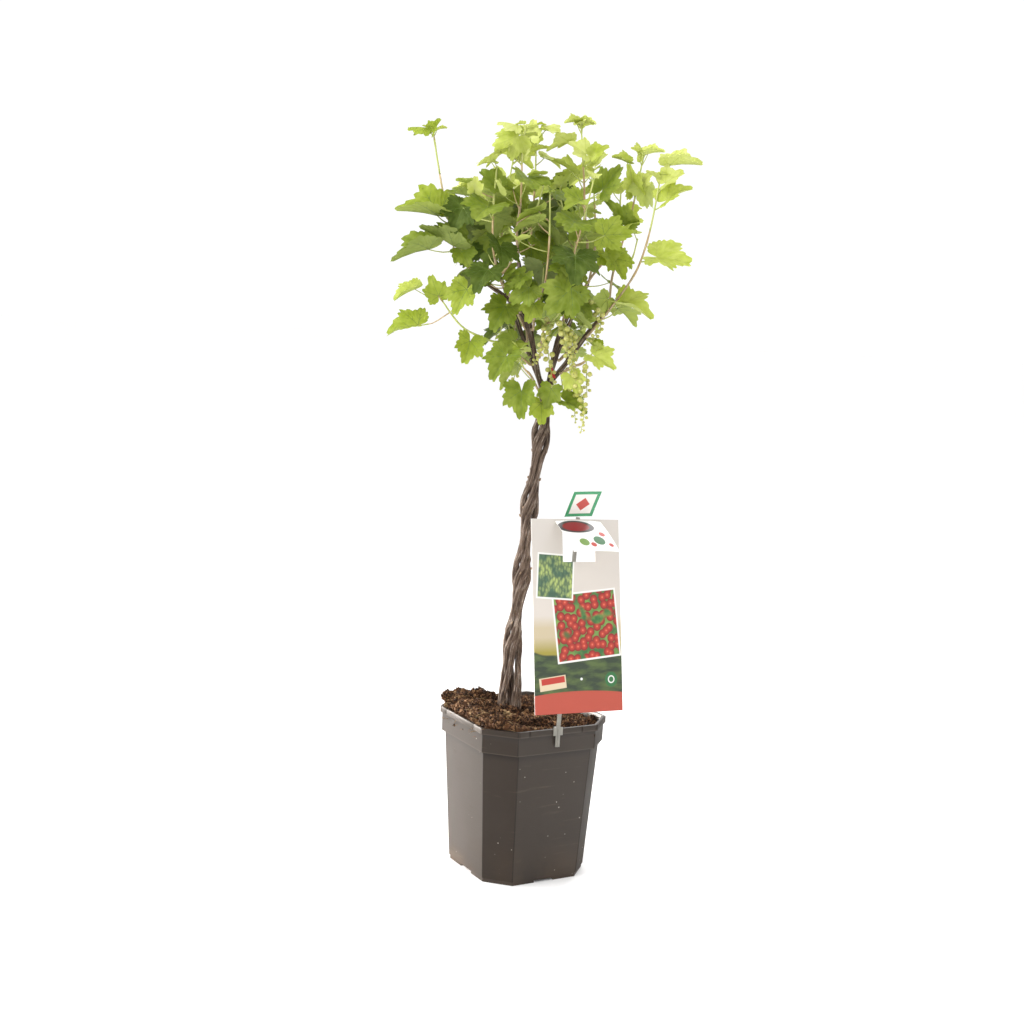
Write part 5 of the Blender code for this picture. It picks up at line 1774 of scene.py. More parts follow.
    def _dress(self, shoot: Shoot, leaves: Heap, twigs: Heap, berries: Heap) -> None:
        """Add one shoot's leaves, twigs and fruit to the heaps."""
        mass = self.growth.masses[shoot.name]
        rng = random.Random(shoot.name)
        name = shoot.name.removeprefix("foliage_")
        placed = PLACED.get(name, ())
        for leaf in mass.leaves:
            if not self._left_out(leaf, name in self.rim_shoots):
                smaller = replace(leaf, length=leaf.length * self.grown_size)
                self._leaf(smaller, self._tone(leaf, rng), rng, leaves, twigs)
        for row in placed:
            self._placed_leaf(PlacedLeaf(*row), mass.twigs[0][0], rng, leaves, twigs)
        for number, (path, radii) in enumerate(mass.twigs):
            self._twig(path, radii, rng, twigs, number > 0 or name in self.green_twigs)
            for share, size, turn in self.short_tuft if placed and number == 0 else self.tuft:
                self._young_leaf(path, share, size * shoot.blade, turn + shoot.turn, rng, leaves, twigs)
            for k, share in enumerate(self.bud_shares):
                if not placed and not shoot.bare[0] < share < shoot.bare[1]:
                    turn = shoot.turn + 77.0 + 150.0 * k
                    self._young_leaf(path, share, self.bud_blade * shoot.blade, turn, rng, leaves, twigs)
        for stalk, count in mass.strings:
            self._string(stalk, round(count * self.fruit_more), rng, berries)

    def _left_out(self, leaf: Leaf, on_rim: bool) -> bool:
        """Return whether a grown leaf gives way to the listed leaves, to a bare twig or to the open fork.

        Args:
            leaf: The grown leaf.
            on_rim: Whether its shoot stands at the crown's rim in the front view.

        Returns:
            Whether it is left out.
        """
        middle = to_front(leaf.joint + leaf.ahead * leaf.length * 0.35)
        (left, right), (low, high) = self.fork_right, self.fork_up
        in_fork = left < middle.x < right and low < middle.z < high and middle.y < self.depth_slack
        across = leaf.up.cross(leaf.ahead).normalized() * leaf.length * 0.45
        spots = [leaf.joint + leaf.ahead * leaf.length * share for share in (0.0, 0.5, 0.95)]
        spots += [spots[1] + across, spots[1] - across]

        def near(place: Vector, reach: float) -> bool:
            """Return whether the front view shows this place within this reach of the leaf's middle."""
            return math.hypot(place.x - middle.x, place.z - middle.z) < reach

        return (
            in_fork
            or (on_rim and to_front(leaf.ahead).y < self.turned_away)
            or any(self._in_sky(spot) for spot in spots)
            or any(point.y > middle.y and near(point, self.seen_half) for point in self.seen)
            or any(
                near(place, self.near_placed) and middle.y < place.y + self.depth_slack
                for place in self.middles
            )
        )

    @staticmethod
    def _in_sky(point: Vector) -> bool:
        """Return whether the photograph shows sky where it would show this point."""
        eye, place = Vector(Studio.camera_place), to_front(point)
        seen = eye + (place - eye) * (eye.y / (eye.y - place.y))
        across, high = seen.x * 1000.0, seen.z * 1000.0
        return any(math.hypot(across - right, high - up) < reach for right, up, reach in SKY)

    def _placed_leaf(
        self, placed: PlacedLeaf, path: Sequence[Vector], rng: random.Random, leaves: Heap, twigs: Heap
    ) -> None:
        """Add one listed leaf, its stalk rooted on the nearest stretch of its twig."""
        back, tip = (from_front(Vector(point) / 1000.0) for point in (placed.root, placed.tip))
        joint = back.lerp(tip, self.placed_back)
        viewer = from_front((0.0, -1.0, 0.0))
        lowered = joint - UP * self.placed_drop
        root = min(curve_through(path, 0.003), key=lambda point: (point - lowered).length)
        facing = viewer * placed.face + UP * (1.0 - abs(placed.face))
        facing += facing.cross(tip - joint).normalized() * rng.uniform(-self.placed_roll, self.placed_roll)
        leaf = Leaf(root, joint, (tip - joint).normalized(), facing.normalized(), (tip - joint).length, 0.5)
        self._leaf(leaf, placed.tone, rng, leaves, twigs, fold=placed.fold)

    def _twig(self, path: list, radii: list, rng: random.Random, twigs: Heap, green: bool) -> None:
        """Add a twig that is tan at its foot, pink at its middle and green at its tip, or mostly green."""
        fine = curve_through(path, 0.006)
        count = len(fine)
        wide = taper(count, radii[0] * 1.05, radii[-1])
        knots = [rng.uniform(0.0, 1.0) for _ in range(4)]
        for k in range(count):
            share = k / (count - 1)
            wide[k] *= 1.0 + 0.22 * sum(math.exp(-(((share - knot) * count) ** 2) / 0.6) for knot in knots)
        ends = (1, round(count * 0.3)) if green else (round(count * 0.42), round(count * 0.70))
        for slot, (low, high) in zip((2, 1, 0), itertools.pairwise((0, *ends, count))):
            if high > low:
                high = min(count, high + 1)
                twigs.tube(fine[low:high], wide[low:high], 6, slot)

    def _tone(self, leaf: Leaf, rng: random.Random) -> Tone:
        """Choose a leaf's tone by its age, and by painted light from where it stands in the crown."""
        # height, low, outside and sunny add painted light to the age; leaves deep inside stay dark, as
        # painted shade
        height = smooth((leaf.joint.z - self.top_from) / (self.top_full - self.top_from))
        low = smooth((0.73 - leaf.joint.z) / 0.05)
        outside = smooth((math.hypot(leaf.joint.x, leaf.joint.y) - 0.07) / 0.08)
        sunny = smooth((to_front(leaf.joint).x - self.sunny_from) / 0.04)
        youth_and_light = 0.45 * (1.0 - leaf.age) + 0.75 * height + 0.28 * low + 0.24 * outside + 0.28 * sunny
        youth_and_light += rng.uniform(*self.tone_vary)
        return next((tone for tone, least in self.tone_least if youth_and_light > least), DEEP)

    def _leaf(
        self, leaf: Leaf, tone: Tone, rng: random.Random, leaves: Heap, twigs: Heap, fold: float | None = None
    ) -> None:
        """Add one leaf's blade, veins and stalk.

        Args:
            leaf: The leaf.
            tone: Its colour, from its age and painted light and shade.
            rng: The shoot's random numbers.
            leaves: The heap of blades.
            twigs: The heap of stalks.
            fold: How steeply its halves rise, or None for the rule's own.
        """
        young = tone in (TIP, YOUNG)
        blade = YOUNG_BLADE if leaf.length < 0.030 or tone == TIP else BROAD_BLADE
        bend = Bend(
            fold=fold or self.fold + self.fold_young * (1.0 - leaf.age) + rng.uniform(*self.fold_vary),
            arch=self.arch + rng.uniform(0.0, self.arch_vary),
            cup=rng.uniform(*self.cup),
            pillow=self.pillow,
            wave=rng.uniform(*self.wave),
            phase=rng.uniform(0.0, math.tau),
        )
        across = leaf.up.cross(leaf.ahead).normalized()
        normal = leaf.ahead.cross(across).normalized()
        axes = np.array([leaf.ahead, across, normal])
        thick = self.sheet_thick
        vein = 10 if young else 11
        layers = [(blade.sheet, ((0.0, False, tone.value), (-thick, True, 5 + tone.value)))]
        if leaf.length > self.least_veined:
            lifts = (self.vein_lift, False, vein), (-thick - self.vein_lift, True, vein)
            layers.append((blade.veins, lifts))
        for (flat, faces), sides in layers:
            shape = bend.shape(flat, blade.ways[1]) * leaf.length
            for offset, under, slot in sides:
                shifted = shape + np.array([0.0, 0.0, offset])
                if flat is blade.sheet[0]:
                    rim = 3 + 2 * blade.teeth * 2
                    shifted[rim:] = shape[rim:]
                    shifted[0] = shape[0]
                world = np.array(leaf.joint) + shifted @ axes
                turned = faces[:, ::-1] if under else faces
                leaves.add(world, turned, slot, flat * leaf.length / self.relief_size + 0.5)
        self._stalk(leaf, rng, twigs, young)

    def _stalk(self, leaf: Leaf, rng: random.Random, twigs: Heap, young: bool) -> None:
        """Add a leaf's stalk: a thin tube that sags a little and is thicker at its foot."""
        reach = (leaf.joint - leaf.place).length
        sag = reach * rng.uniform(*self.sag)
        middle = leaf.place.lerp(leaf.joint, 0.55) - UP * sag
        tip = leaf.joint + leaf.ahead * leaf.length * 0.02
        path = curve_through([leaf.place, middle, tip], max(0.004, reach / 5))
        root = self.stalk_radius * (0.7 + 9.0 * leaf.length)
        wide = taper(len(path), root * 1.25, root * 0.75)
        twigs.tube(path, wide, 5, 0 if young or rng.random() < 0.7 else 1)

    def _young_leaf(
        self,
        path: list[Vector],
        share: float,
        length: float,
        turn: float,
        rng: random.Random,
        leaves: Heap,
        twigs: Heap,
    ) -> None:
        """Add one small folded leaf on a twig, at this share of its length and turned round it in degrees."""
        place, way = along(path, min(share, 0.995))
        out = square_to(way, math.radians(turn) + rng.uniform(-0.5, 0.5))
        rise = 0.55 + 0.9 * smooth((share - 0.85) / 0.15)
        stem = (out + way * rise).normalized()
        joint = place + stem * length * rng.uniform(0.35, 0.6)
        ahead = (out + UP * rng.uniform(-0.05, 0.35 + 0.4 * rise)).normalized()
        up = (UP + way * 0.6 + out * rng.uniform(-0.2, 0.2)).normalized()
        up = (up - ahead * up.dot(ahead)).normalized()
        age = 0.35 if share < 0.9 else 0.05
        leaf = Leaf(place, joint, ahead, up, length * rng.uniform(0.85, 1.15), age)
        if not self._in_sky(joint + ahead * length * 0.5):
            self._leaf(leaf, self._tone(leaf, rng), rng, leaves, twigs)

    def _string(self, stalk: list[Vector], count: int, rng: random.Random, berries: Heap) -> None:
        """Add a string of fruit, large at its root and small at its tip."""
        fine = curve_through(stalk, 0.004)
        berries.tube(fine, taper(len(fine), 0.0009, 0.0005), 5, 2)
        for k in range(count):
            share = 0.16 + 0.84 * (k / (count - 1)) ** 0.92
            centre, way = along(fine, share)
            radius = self.fruit_root + (self.fruit_tip - self.fruit_root) * share ** 1.3
            radius *= rng.uniform(0.86, 1.12)
            out = (square_to(way, k * self.fruit_turn) - UP * 0.35).normalized()
            middle = centre + out * (radius + self.pedicel * rng.uniform(0.3, 0.8))
            berries.tube([centre, middle - out * radius * 0.9], [self.pedicel_radius] * 2, 4, 2)
            self._berry(middle, out, radius, berries)

    def _berry(self, middle: Vector, out: Vector, radius: float, berries: Heap) -> None:
        """Add one berry with the dry end of its flower."""
        steps = self.berry_rings
        angles = [math.pi * (k + 0.12) / (steps + 0.24) for k in range(steps + 1)]
        path = [middle - out * radius * math.cos(angle) for angle in angles]
        berries.tube(path, [radius * math.sin(angle) for angle in angles], 10, 0)
        end = [middle + out * radius * 0.96, middle + out * radius * 1.22]
        berries.tube(end, [radius * 0.16, radius * 0.05], 5, 1)


# Stems and boughs


@dataclass
class Wood:
    """The plaited stems and the boughs that carry on from them, with their bark."""

    plait: Plait
    sides: int = 14
    ring_step: float = 0.0032
    swell: float = 1.20
    bough_swell: float = 1.16
    bough_tip_radius: float = 0.0022
    bough_step: float = 0.022
    limb_start: float = 0.012
    ridge: float = 0.00050
    knots: int = 7
    knot_height: float = 0.0014
    buds: int = 5
    bud_radii: tuple = (0.0009, 0.0013, 0.0009, 0.0002)

    def limbs(self) -> tuple[list, dict]:
        """Lay out the stems and the boughs as the part's solids have them.

        Returns:
            Every limb's path and radii, and the boughs' by name.
        """
        stems = self.plait.paths()
        limbs = [(path, taper(len(path), self.plait.foot_radius, self.plait.top_radius)) for path in stems]
        boughs = {}
        for stem, (name, points) in zip(stems, BOUGHS.items()):
            ahead = (stem[-1] - stem[-2]).normalized()
            upright = (ahead + Vector((0.0, 0.0, 2.0))).normalized()
            starts = [stem[-1] + ahead * GAP, stem[-1] + upright * self.limb_start]
            path = curve_through([*starts, *map(from_front, points)], self.bough_step)
            boughs[name] = (path, taper(len(path), self.plait.top_radius, self.bough_tip_radius))
            limbs.append(boughs[name])
        return limbs, boughs

    def make(self, limbs: Sequence[tuple], boughs: Mapping[str, tuple]) -> list[bpy.types.Object]:
        """Build one piece for each stem with its bough."""
        bark = BarkFinish().make()
        bud = ShootFinish("bud_scale", (0.20, 0.12, 0.07), (0.34, 0.22, 0.12)).make()
        pieces = []
        for number, (name, bough) in enumerate(boughs.items()):
            stem = limbs[number]
            heap = Heap(f"limb_{name.removeprefix('bough_')}")
            foot = stem[0][0] - UP * 0.004
            path = curve_through([foot, *stem[0][1:-1], *bough[0][1:]], self.ring_step)
            self._limb(path, number, heap)
            self._buds(path, number, heap)
            piece = heap.build([bark, bud], "limb")
            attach(piece, "root")
            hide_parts(f"stem_{number + 1}", name)
            LOG.info("%s: %d triangles", piece.name, len(piece.data.polygons))
            pieces.append(piece)
        return pieces

    def _limb(self, path: list[Vector], number: int, heap: Heap) -> None:
        """Add one limb with its ridges and knots."""
        rng = random.Random(100 + number)
        top = self.plait.top
        wide = []
        for point in path:
            share = min(1.0, max(0.0, (point.z - self.plait.foot) / (top - self.plait.foot)))
            stem = self.plait.foot_radius + (self.plait.top_radius - self.plait.foot_radius) * share
            past = min(1.0, max(0.0, (point.z - top) / 0.17))
            bough = self.plait.top_radius + (self.bough_tip_radius - self.plait.top_radius) * past
            blend = smooth((point.z - top + 0.01) / 0.02)
            radius = stem * self.swell * (1.0 - blend) + bough * self.bough_swell * blend
            wide.append(radius * (1.0 + 0.16 * smooth((0.235 - point.z) / 0.02)))
        knots = [(rng.uniform(0.03, 0.95) * len(path), rng.uniform(0.0, math.tau)) for _ in range(self.knots)]

        def relief(ring: int, angle: float, along_way: float) -> float:
            """Return how far the bark stands out."""
            point = Vector((math.cos(angle) * 1.3, math.sin(angle) * 1.3, along_way * 26.0 + number * 7.0))
            push = noise.noise(point * 1.3) * self.ridge + noise.noise(point * 4.0) * self.ridge * 0.5
            strand = math.cos(angle * 2.0 + along_way * 9.0 + number) * self.ridge * 0.5
            for place, turn in knots:
                apart = ((ring - place) * self.ring_step / 0.0035) ** 2
                if apart < 6.0:
                    push += self.knot_height * math.exp(-apart) * max(0.0, math.cos(angle - turn)) ** 3
            return push + strand

        heap.tube(path, wide, self.sides, 0, relief)

    def _buds(self, path: list[Vector], number: int, heap: Heap) -> None:
        """Add a few pointed buds that lie against the limb."""
        rng = random.Random(300 + number)
        for _ in range(self.buds):
            centre, way = along(path, rng.uniform(0.05, 0.92))
            out = square_to(way, rng.uniform(0.0, math.tau))
            root = centre + out * 0.0036
            tip = root + (out * 0.55 + way).normalized() * rng.uniform(0.0035, 0.0060)
            bud = [root - out * 0.0008, root.lerp(tip, 0.35) + out * 0.0004, root.lerp(tip, 0.75), tip]
            heap.tube(bud, self.bud_radii, 6, 1)


# Pot and mulch


@dataclass
class Pot:
    """The square tub with softened edges."""

    edge: float = 0.00075

    def make(self, nodes: Mapping[str, bpy.types.Object]) -> bpy.types.Object:
        """Build the pot from its solid.

        Args:
            nodes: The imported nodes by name.

        Returns:
            The new piece.
        """
        pot = merged_copy(nodes["pot"], "tub")
        sharp = math.radians(25.0)
        apply_modifier(pot, "BEVEL", width=self.edge, segments=2, limit_method="ANGLE", angle_limit=sharp)
        smooth_below(pot, 32.0)
        pot.data.materials.append(PotPlastic().make())
        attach(pot, "root")
        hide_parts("pot")
        LOG.info("tub: %d faces", len(pot.data.polygons))
        return pot


@dataclass
class Mulch:
    """Bark mulch and coir: a lumpy bed with chips, crumbs and fibres on it."""

    crumbs: int = 5200
    chips: int = 1500
    fibres: int = 330
    clods: tuple = (
        (-0.046, 0.036, 0.0105),
        (-0.058, 0.030, 0.0080),
        (-0.030, 0.044, 0.0075),
        (-0.085, 0.020, 0.0070),
        (-0.104, 0.006, 0.0075),
        (0.096, 0.012, 0.0070),
    )
    straw_clods: tuple = ((-0.012, -0.052, 0.0075), (-0.002, -0.060, 0.0065), (-0.022, -0.045, 0.0060))
    small_clods: int = 60
    small_size: tuple = (0.0040, 0.0095)
    clod_reach: float = 0.080
    crumb_length: tuple = (0.0018, 0.0046)
    chip_length: tuple = (0.0045, 0.0110)
    clod_chip_length: tuple = (0.0025, 0.0064)
    clod_chips_each_metre: float = 22000
    chip_wide: tuple = (0.35, 0.85)
    chip_thick: tuple = (0.5, 1.1)
    chip_tilt: float = 0.45
    chip_lift: float = 0.0010
    ring: int = 5
    fibre_length: tuple = (0.008, 0.026)
    fibre_radii: tuple = (0.00018, 0.00038, 0.0004, 0.00034, 0.00015)
    bed_rough: float = 0.0022
    bed_half: float = 0.0885
    bed_low: float = 0.19
    rim_top: float = 0.2134
    heap_slope: float = 5.0
    seed: int = 5
    skins: tuple = (
        ("mulch_dark", (0.014, 0.007, 0.004), (0.052, 0.026, 0.013)),
        ("mulch_brown", (0.040, 0.018, 0.009), (0.125, 0.060, 0.029)),
        ("mulch_red", (0.090, 0.042, 0.019), (0.25, 0.140, 0.070)),
        ("mulch_straw", (0.19, 0.115, 0.055), (0.36, 0.25, 0.13)),
    )

    def make(self, nodes: Mapping[str, bpy.types.Object]) -> list[bpy.types.Object]:
        """Build the bed and what lies on it."""
        bed = self._bed(nodes["mulch"])
        rng = random.Random(self.seed)
        finishes = [MulchStuff(*skin).make() for skin in self.skins]
        spots = self._spots(bed)
        crumbs, fibres = Heap("mulch_crumbs"), Heap("mulch_fibres")
        for _ in range(self.crumbs):
            place, normal = self._spot(spots, rng)
            self._chip(place, normal, rng, crumbs, self.crumb_length, 0.85, rng.choice((0, 0, 1, 1, 1, 2)))
        for _ in range(self.chips):
            place, normal = self._spot(spots, rng)
            slot = rng.choices((0, 1, 2, 3), (3, 8, 6, 1))[0]
            self._chip(place, normal, rng, crumbs, self.chip_length, 0.45, slot)
        lumps = [(from_front((right, away, 0.0)), size) for right, away, size in self.clods]
        for _ in range(self.small_clods):
            place = Vector((rng.uniform(-1.0, 1.0), rng.uniform(-1.0, 1.0), 0.0)) * self.clod_reach
            lumps.append((place, rng.uniform(*self.small_size)))
        for place, size in lumps:
            self._clod(place, size, bed, rng, crumbs, (0, 0, 1, 1, 2))
        for right, away, size in self.straw_clods:
            self._clod(from_front((right, away, 0.0)), size, bed, rng, crumbs, (2, 3, 3))
        for _ in range(self.fibres):
            self._fibre(*self._spot(spots, rng), rng, fibres)
        pieces = [crumbs.build(finishes, "chip"), fibres.build(finishes, "chip")]
        for piece in pieces:
            piece.data.polygons.foreach_set("use_smooth", np.zeros(len(piece.data.polygons), bool))
        bed.data.materials.append(finishes[1])
        pieces.append(bed)
        for piece in pieces:
            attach(piece, "root")
            LOG.info("%s: %d faces", piece.name, len(piece.data.polygons))
        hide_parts("mulch")
        return pieces

    def _bed(self, node: bpy.types.Object) -> bpy.types.Object:
        """Return a copy of the mulch's solid with a finely lumpy top."""
        bed = merged_copy(node, "mulch_bed")
        shape = bmesh.new()
        shape.from_mesh(bed.data)
        low = self.bed_low
        top = [face for face in shape.faces if face.normal.z > 0.4 and face.calc_center_median().z > low]
        edges = list({edge for face in top for edge in face.edges})
        bmesh.ops.subdivide_edges(shape, edges=edges, cuts=5, use_grid_fill=True)
        bmesh.ops.triangulate(shape, faces=shape.faces)
        for vert in shape.verts:
            inside = max(abs(vert.co.x), abs(vert.co.y)) < self.bed_half
            if vert.co.z > low and inside and vert.normal.z > 0.3:
                bumps = noise.noise(vert.co * 150.0) + 0.5 * noise.noise(vert.co * 420.0)
                vert.co.z += bumps * self.bed_rough
            over = vert.co.z - self.rim_top + 0.004
            if over > 0.0 and not inside:
                vert.co.x *= 1.0 - over * self.heap_slope
                vert.co.y *= 1.0 - over * self.heap_slope
        shape.to_mesh(bed.data)
        shape.free()
        return bed

    def _spots(self, bed: bpy.types.Object) -> tuple[list, list]:
        """Return the bed's top triangles and their running areas."""
        mesh = bed.data
        faces, areas = [], []
        for face in mesh.polygons:
            if (face.normal.z > 0.25 and face.center.z > self.bed_low) or face.center.z > 0.211:
                faces.append((*(mesh.vertices[k].co.copy() for k in face.vertices[:3]), face.normal.copy()))
                areas.append(face.area)
        return faces, list(itertools.accumulate(areas))

    @staticmethod
    def _spot(spots: tuple[list, list], rng: random.Random) -> tuple[Vector, Vector]:
        """Return a random place on the bed and the way up from it."""
        faces, areas = spots
        a, b, c, normal = rng.choices(faces, cum_weights=areas)[0]
        u, v = rng.random(), rng.random()
        if u + v > 1.0:
            u, v = 1.0 - u, 1.0 - v
        return a + (b - a) * u + (c - a) * v, normal

    def _chip(
        self,
        place: Vector,
        normal: Vector,
        rng: random.Random,
        heap: Heap,
        length: tuple[float, float],
        stout: float,
        slot: int,
    ) -> None:
        """Add one broken chip that lies about flat on the bed.

        Args:
            place: Where it lies.
            normal: The way up from the bed there.
            rng: The random numbers.
            heap: The heap that it goes to.
            length: The least and the most length.
            stout: Its thickness as a share of its width.
            slot: Its material.
        """
        long = rng.uniform(*length)
        wide = long * rng.uniform(*self.chip_wide)
        thick = wide * stout * rng.uniform(*self.chip_thick)
        tilt = Matrix.Rotation(rng.gauss(0.0, self.chip_tilt), 3, "X")
        tilt = tilt @ Matrix.Rotation(rng.gauss(0.0, self.chip_tilt), 3, "Y")
        turn = Matrix.Rotation(rng.uniform(0.0, math.tau), 3, "Z")
        stand = normal.to_track_quat("Z", "Y").to_matrix() @ tilt @ turn
        count = self.ring
        ring = []
        for k in range(count):
            angle = math.tau * (k + rng.uniform(-0.3, 0.3)) / count
            ring.append((math.cos(angle) * long / 2 * rng.uniform(0.75, 1.1), math.sin(angle) * wide / 2))
        levels = ((-thick / 2, 0.9), (thick / 2, rng.uniform(0.55, 0.9)))
        points = [Vector((x * share, y * share, z)) for z, share in levels for x, y in ring]
        lift = normal * (thick * 0.25 + rng.uniform(0.0, self.chip_lift))
        world = np.array([place + lift + stand @ point for point in points])
        faces = [(0, k + 1, k) for k in range(1, count - 1)]
        faces += [(count, count + k, count + k + 1) for k in range(1, count - 1)]
        for k in range(count):
            a, b = k, (k + 1) % count
            faces += [(a, b, count + b), (a, count + b, count + a)]
        heap.add(world, np.array(faces), slot)

    def _clod(
        self,
        place: Vector,
        size: float,
        bed: bpy.types.Object,
        rng: random.Random,
        heap: Heap,
        slots: Sequence[int],
    ) -> None:
        """Add a clod: a pile of chips of these materials round a ball that rests on the bed."""
        hit, ground, _, _ = bed.ray_cast(Vector((place.x, place.y, 0.3)), -UP)
        middle = Vector((place.x, place.y, (ground.z if hit else 0.22) + size * 0.45))
        for _ in range(int(size * self.clod_chips_each_metre)):
            way = Vector((rng.gauss(0, 1), rng.gauss(0, 1), rng.gauss(0, 1))).normalized()
            spot = middle + way * size * rng.uniform(0.45, 1.0)
            self._chip(spot, way, rng, heap, self.clod_chip_length, 0.6, rng.choice(slots))

    def _fibre(self, place: Vector, normal: Vector, rng: random.Random, heap: Heap) -> None:
        """Add one curled fibre that lies on the bed."""
        length = rng.uniform(*self.fibre_length)
        turn = Matrix.Rotation(rng.uniform(0.0, math.tau), 3, "Z")
        way = turn @ Vector((1.0, 0.0, rng.uniform(-0.15, 0.35)))
        side = way.cross(UP).normalized()
        bow = rng.uniform(-0.35, 0.35)
        path = []
        for k in range(5):
            t = k / 4 - 0.5
            arch = (0.25 - t * t) * length
            spot = place + normal * 0.0016 + way * t * length + side * arch * bow
            path.append(spot + UP * arch * rng.uniform(0.1, 0.5))
        heap.tube(path, self.fibre_radii, 4, rng.choice((2, 3, 3)))


# Label


@dataclass
class Label:
    """The printed card with its cut-out and flap, its stake, the small sign and the clip."""

    card_size: tuple = (0.1350, 0.2545)
    card_foot: tuple = (0.0308, -0.0945, 0.2322)
    lean: float = math.radians(-11.5)
    turn: float = math.radians(2.0)
    window: tuple = (0.0040, 0.198, 0.050, 0.048)
    flap_size: tuple = (0.070, 0.063)
    flap_hinge: tuple = (0.0030, 0.2515)
    flap_tilt: float = math.radians(-48.0)
    stake_size: tuple = (0.0060, 0.0016, 0.2770)
    stake_turn: float = math.radians(9.7)
    sign_size: tuple = (0.043, 0.042)
    sign_tilt: float = math.radians(31.0)
    sign_rise: float = 0.0011
    paper: float = 0.0006
    bow: float = -0.0010
    flap_ahead: float = 0.0011
    flap_bow: float = -0.0022
    sign_bow: float = 0.0004
    stake_behind: float = 0.0004
    clip_thick: float = 0.0015
    neck: float = 0.0010
    clip_middle: float = -0.0016
    rim_half: float = 0.095
    rim_top: float = 0.2134

    def make(self) -> list[bpy.types.Object]:
        """Build the label's pieces."""
        back = CardPrint(Print.BACK).make()
        stand = Matrix.Translation(self.card_foot) @ Matrix.Rotation(self.lean, 4, "X")
        stand = stand @ Matrix.Rotation(self.turn, 4, "Y")
        card = self._sheet("label_card_sheet", self.card_size, self.bow, self.window)
        self._finish(card, stand, Print.CARD, back, "label_card")

        hinge = stand @ Matrix.Translation((self.flap_hinge[0], -self.flap_ahead, self.flap_hinge[1]))
        drop = Matrix.Rotation(self.flap_tilt, 4, "X") @ Matrix.Translation((0.0, 0.0, -self.flap_size[1]))
        flap = self._sheet("label_flap_sheet", self.flap_size, self.flap_bow, None)
        self._finish(flap, hinge @ drop, Print.FLAP, back, "label_flap")

        foot_up = self.rim_top + GAP + self.clip_thick + self.neck
        behind = (self.stake_behind + GAP + self.stake_size[1] / 2) / math.cos(self.lean)
        foot_away = self.card_foot[1] + behind + (foot_up - self.card_foot[2]) * math.tan(-self.lean)
        stake = Matrix.Translation((self.clip_middle, foot_away, foot_up))
        stake = stake @ Matrix.Rotation(self.lean, 4, "X") @ Matrix.Rotation(self.stake_turn, 4, "Y")
        top = stake @ Vector((0.0, 0.0, self.stake_size[2]))
        tip = Matrix.Translation(top + UP * self.sign_rise) @ Matrix.Rotation(self.sign_tilt, 4, "X")
        sign = self._sheet("label_sign_sheet", self.sign_size, self.sign_bow, None)
        self._finish(sign, tip, Print.SIGN, back, "label_sign")
        pieces = [card, flap, sign, self._stake(stake, foot_away, foot_up), self._marker_finish()]
        for piece in pieces[:4]:
            LOG.info("%s: %d faces", piece.name, len(piece.data.polygons))
        return pieces

    def _sheet(
        self, name: str, size: Sequence[float], bow: float, window: Sequence[float] | None
    ) -> bpy.types.Object:
        """Model an upright sheet, a little bowed, with its UV map in metres.

        Args:
            name: The piece's name.
            size: Its width and height.
            bow: How far its middle stands back.
            window: The cut-out's middle foot (x, z), width and height, or None.

        Returns:
            The sheet, with its foot's middle at the origin and its picture side towards -Y.
        """
        pick_only()
        bpy.ops.mesh.primitive_grid_add(x_subdivisions=12, y_subdivisions=20, size=1.0)
        sheet = bpy.context.active_object
        sheet.name = name
        sheet.data.name = name
        upright = Matrix.Translation((0.0, 0.0, 0.5)) @ Matrix.Rotation(math.radians(90.0), 4, "X")
        sheet.data.transform(upright)
        sheet.data.transform(Matrix.Diagonal((size[0], 1.0, size[1], 1.0)))
        shape = bmesh.new()
        shape.from_mesh(sheet.data)
        if window:
            self._cut_window(shape, window)
        layer = shape.loops.layers.uv.new("card")
        for face in shape.faces:
            for loop in face.loops:
                loop[layer].uv = (loop.vert.co.x, loop.vert.co.z)
        for vert in shape.verts:
            across, high = 2.0 * vert.co.x / size[0], vert.co.z / size[1]
            vert.co.y += bow * ((1.0 - across * across) * 0.7 + math.sin(math.pi * high) * 0.6)
        for old in [old for old in shape.loops.layers.uv if old.name != "card"]:
            shape.loops.layers.uv.remove(old)
        shape.to_mesh(sheet.data)
        shape.free()
        return sheet

    @staticmethod
    def _cut_window(shape: bmesh.types.BMesh, window: Sequence[float]) -> None:
        """Cut a square-cornered opening in the sheet."""
        x, z, wide, high = window
        right = Vector((1.0, 0.0, 0.0))
        for place, normal in ((x - wide / 2, right), (x + wide / 2, right), (z, UP), (z + high, UP)):
            geometry = [*shape.verts, *shape.edges, *shape.faces]
            bmesh.ops.bisect_plane(
                shape, geom=geometry, plane_co=normal * place, plane_no=normal, dist=1e-6
            )
        middles = {face: face.calc_center_median() for face in shape.faces}
        inside = [face for face, at in middles.items() if abs(at.x - x) < wide / 2 and z < at.z < z + high]
        bmesh.ops.delete(shape, geom=inside, context="FACES")

    def _finish(
        self, sheet: bpy.types.Object, stand: Matrix, side: Print, back: bpy.types.Material, node: str
    ) -> None:
        """Stand a sheet in its place, give it its thickness and print, and let it stand for its node."""
        apply_modifier(sheet, "SOLIDIFY", thickness=self.paper, offset=0.0, use_even_offset=True)
        sheet.data.transform(stand)
        sheet.data.materials.clear()
        sheet.data.materials.append(CardPrint(side).make())
        sheet.data.materials.append(back)
        facing = (stand.to_3x3() @ Vector((0.0, -1.0, 0.0))).normalized()
        for face in sheet.data.polygons:
            face.material_index = 0 if face.normal.dot(facing) > 0.5 else 1
        smooth_below(sheet, 30.0)
        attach(sheet, "root")
        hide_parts(node)

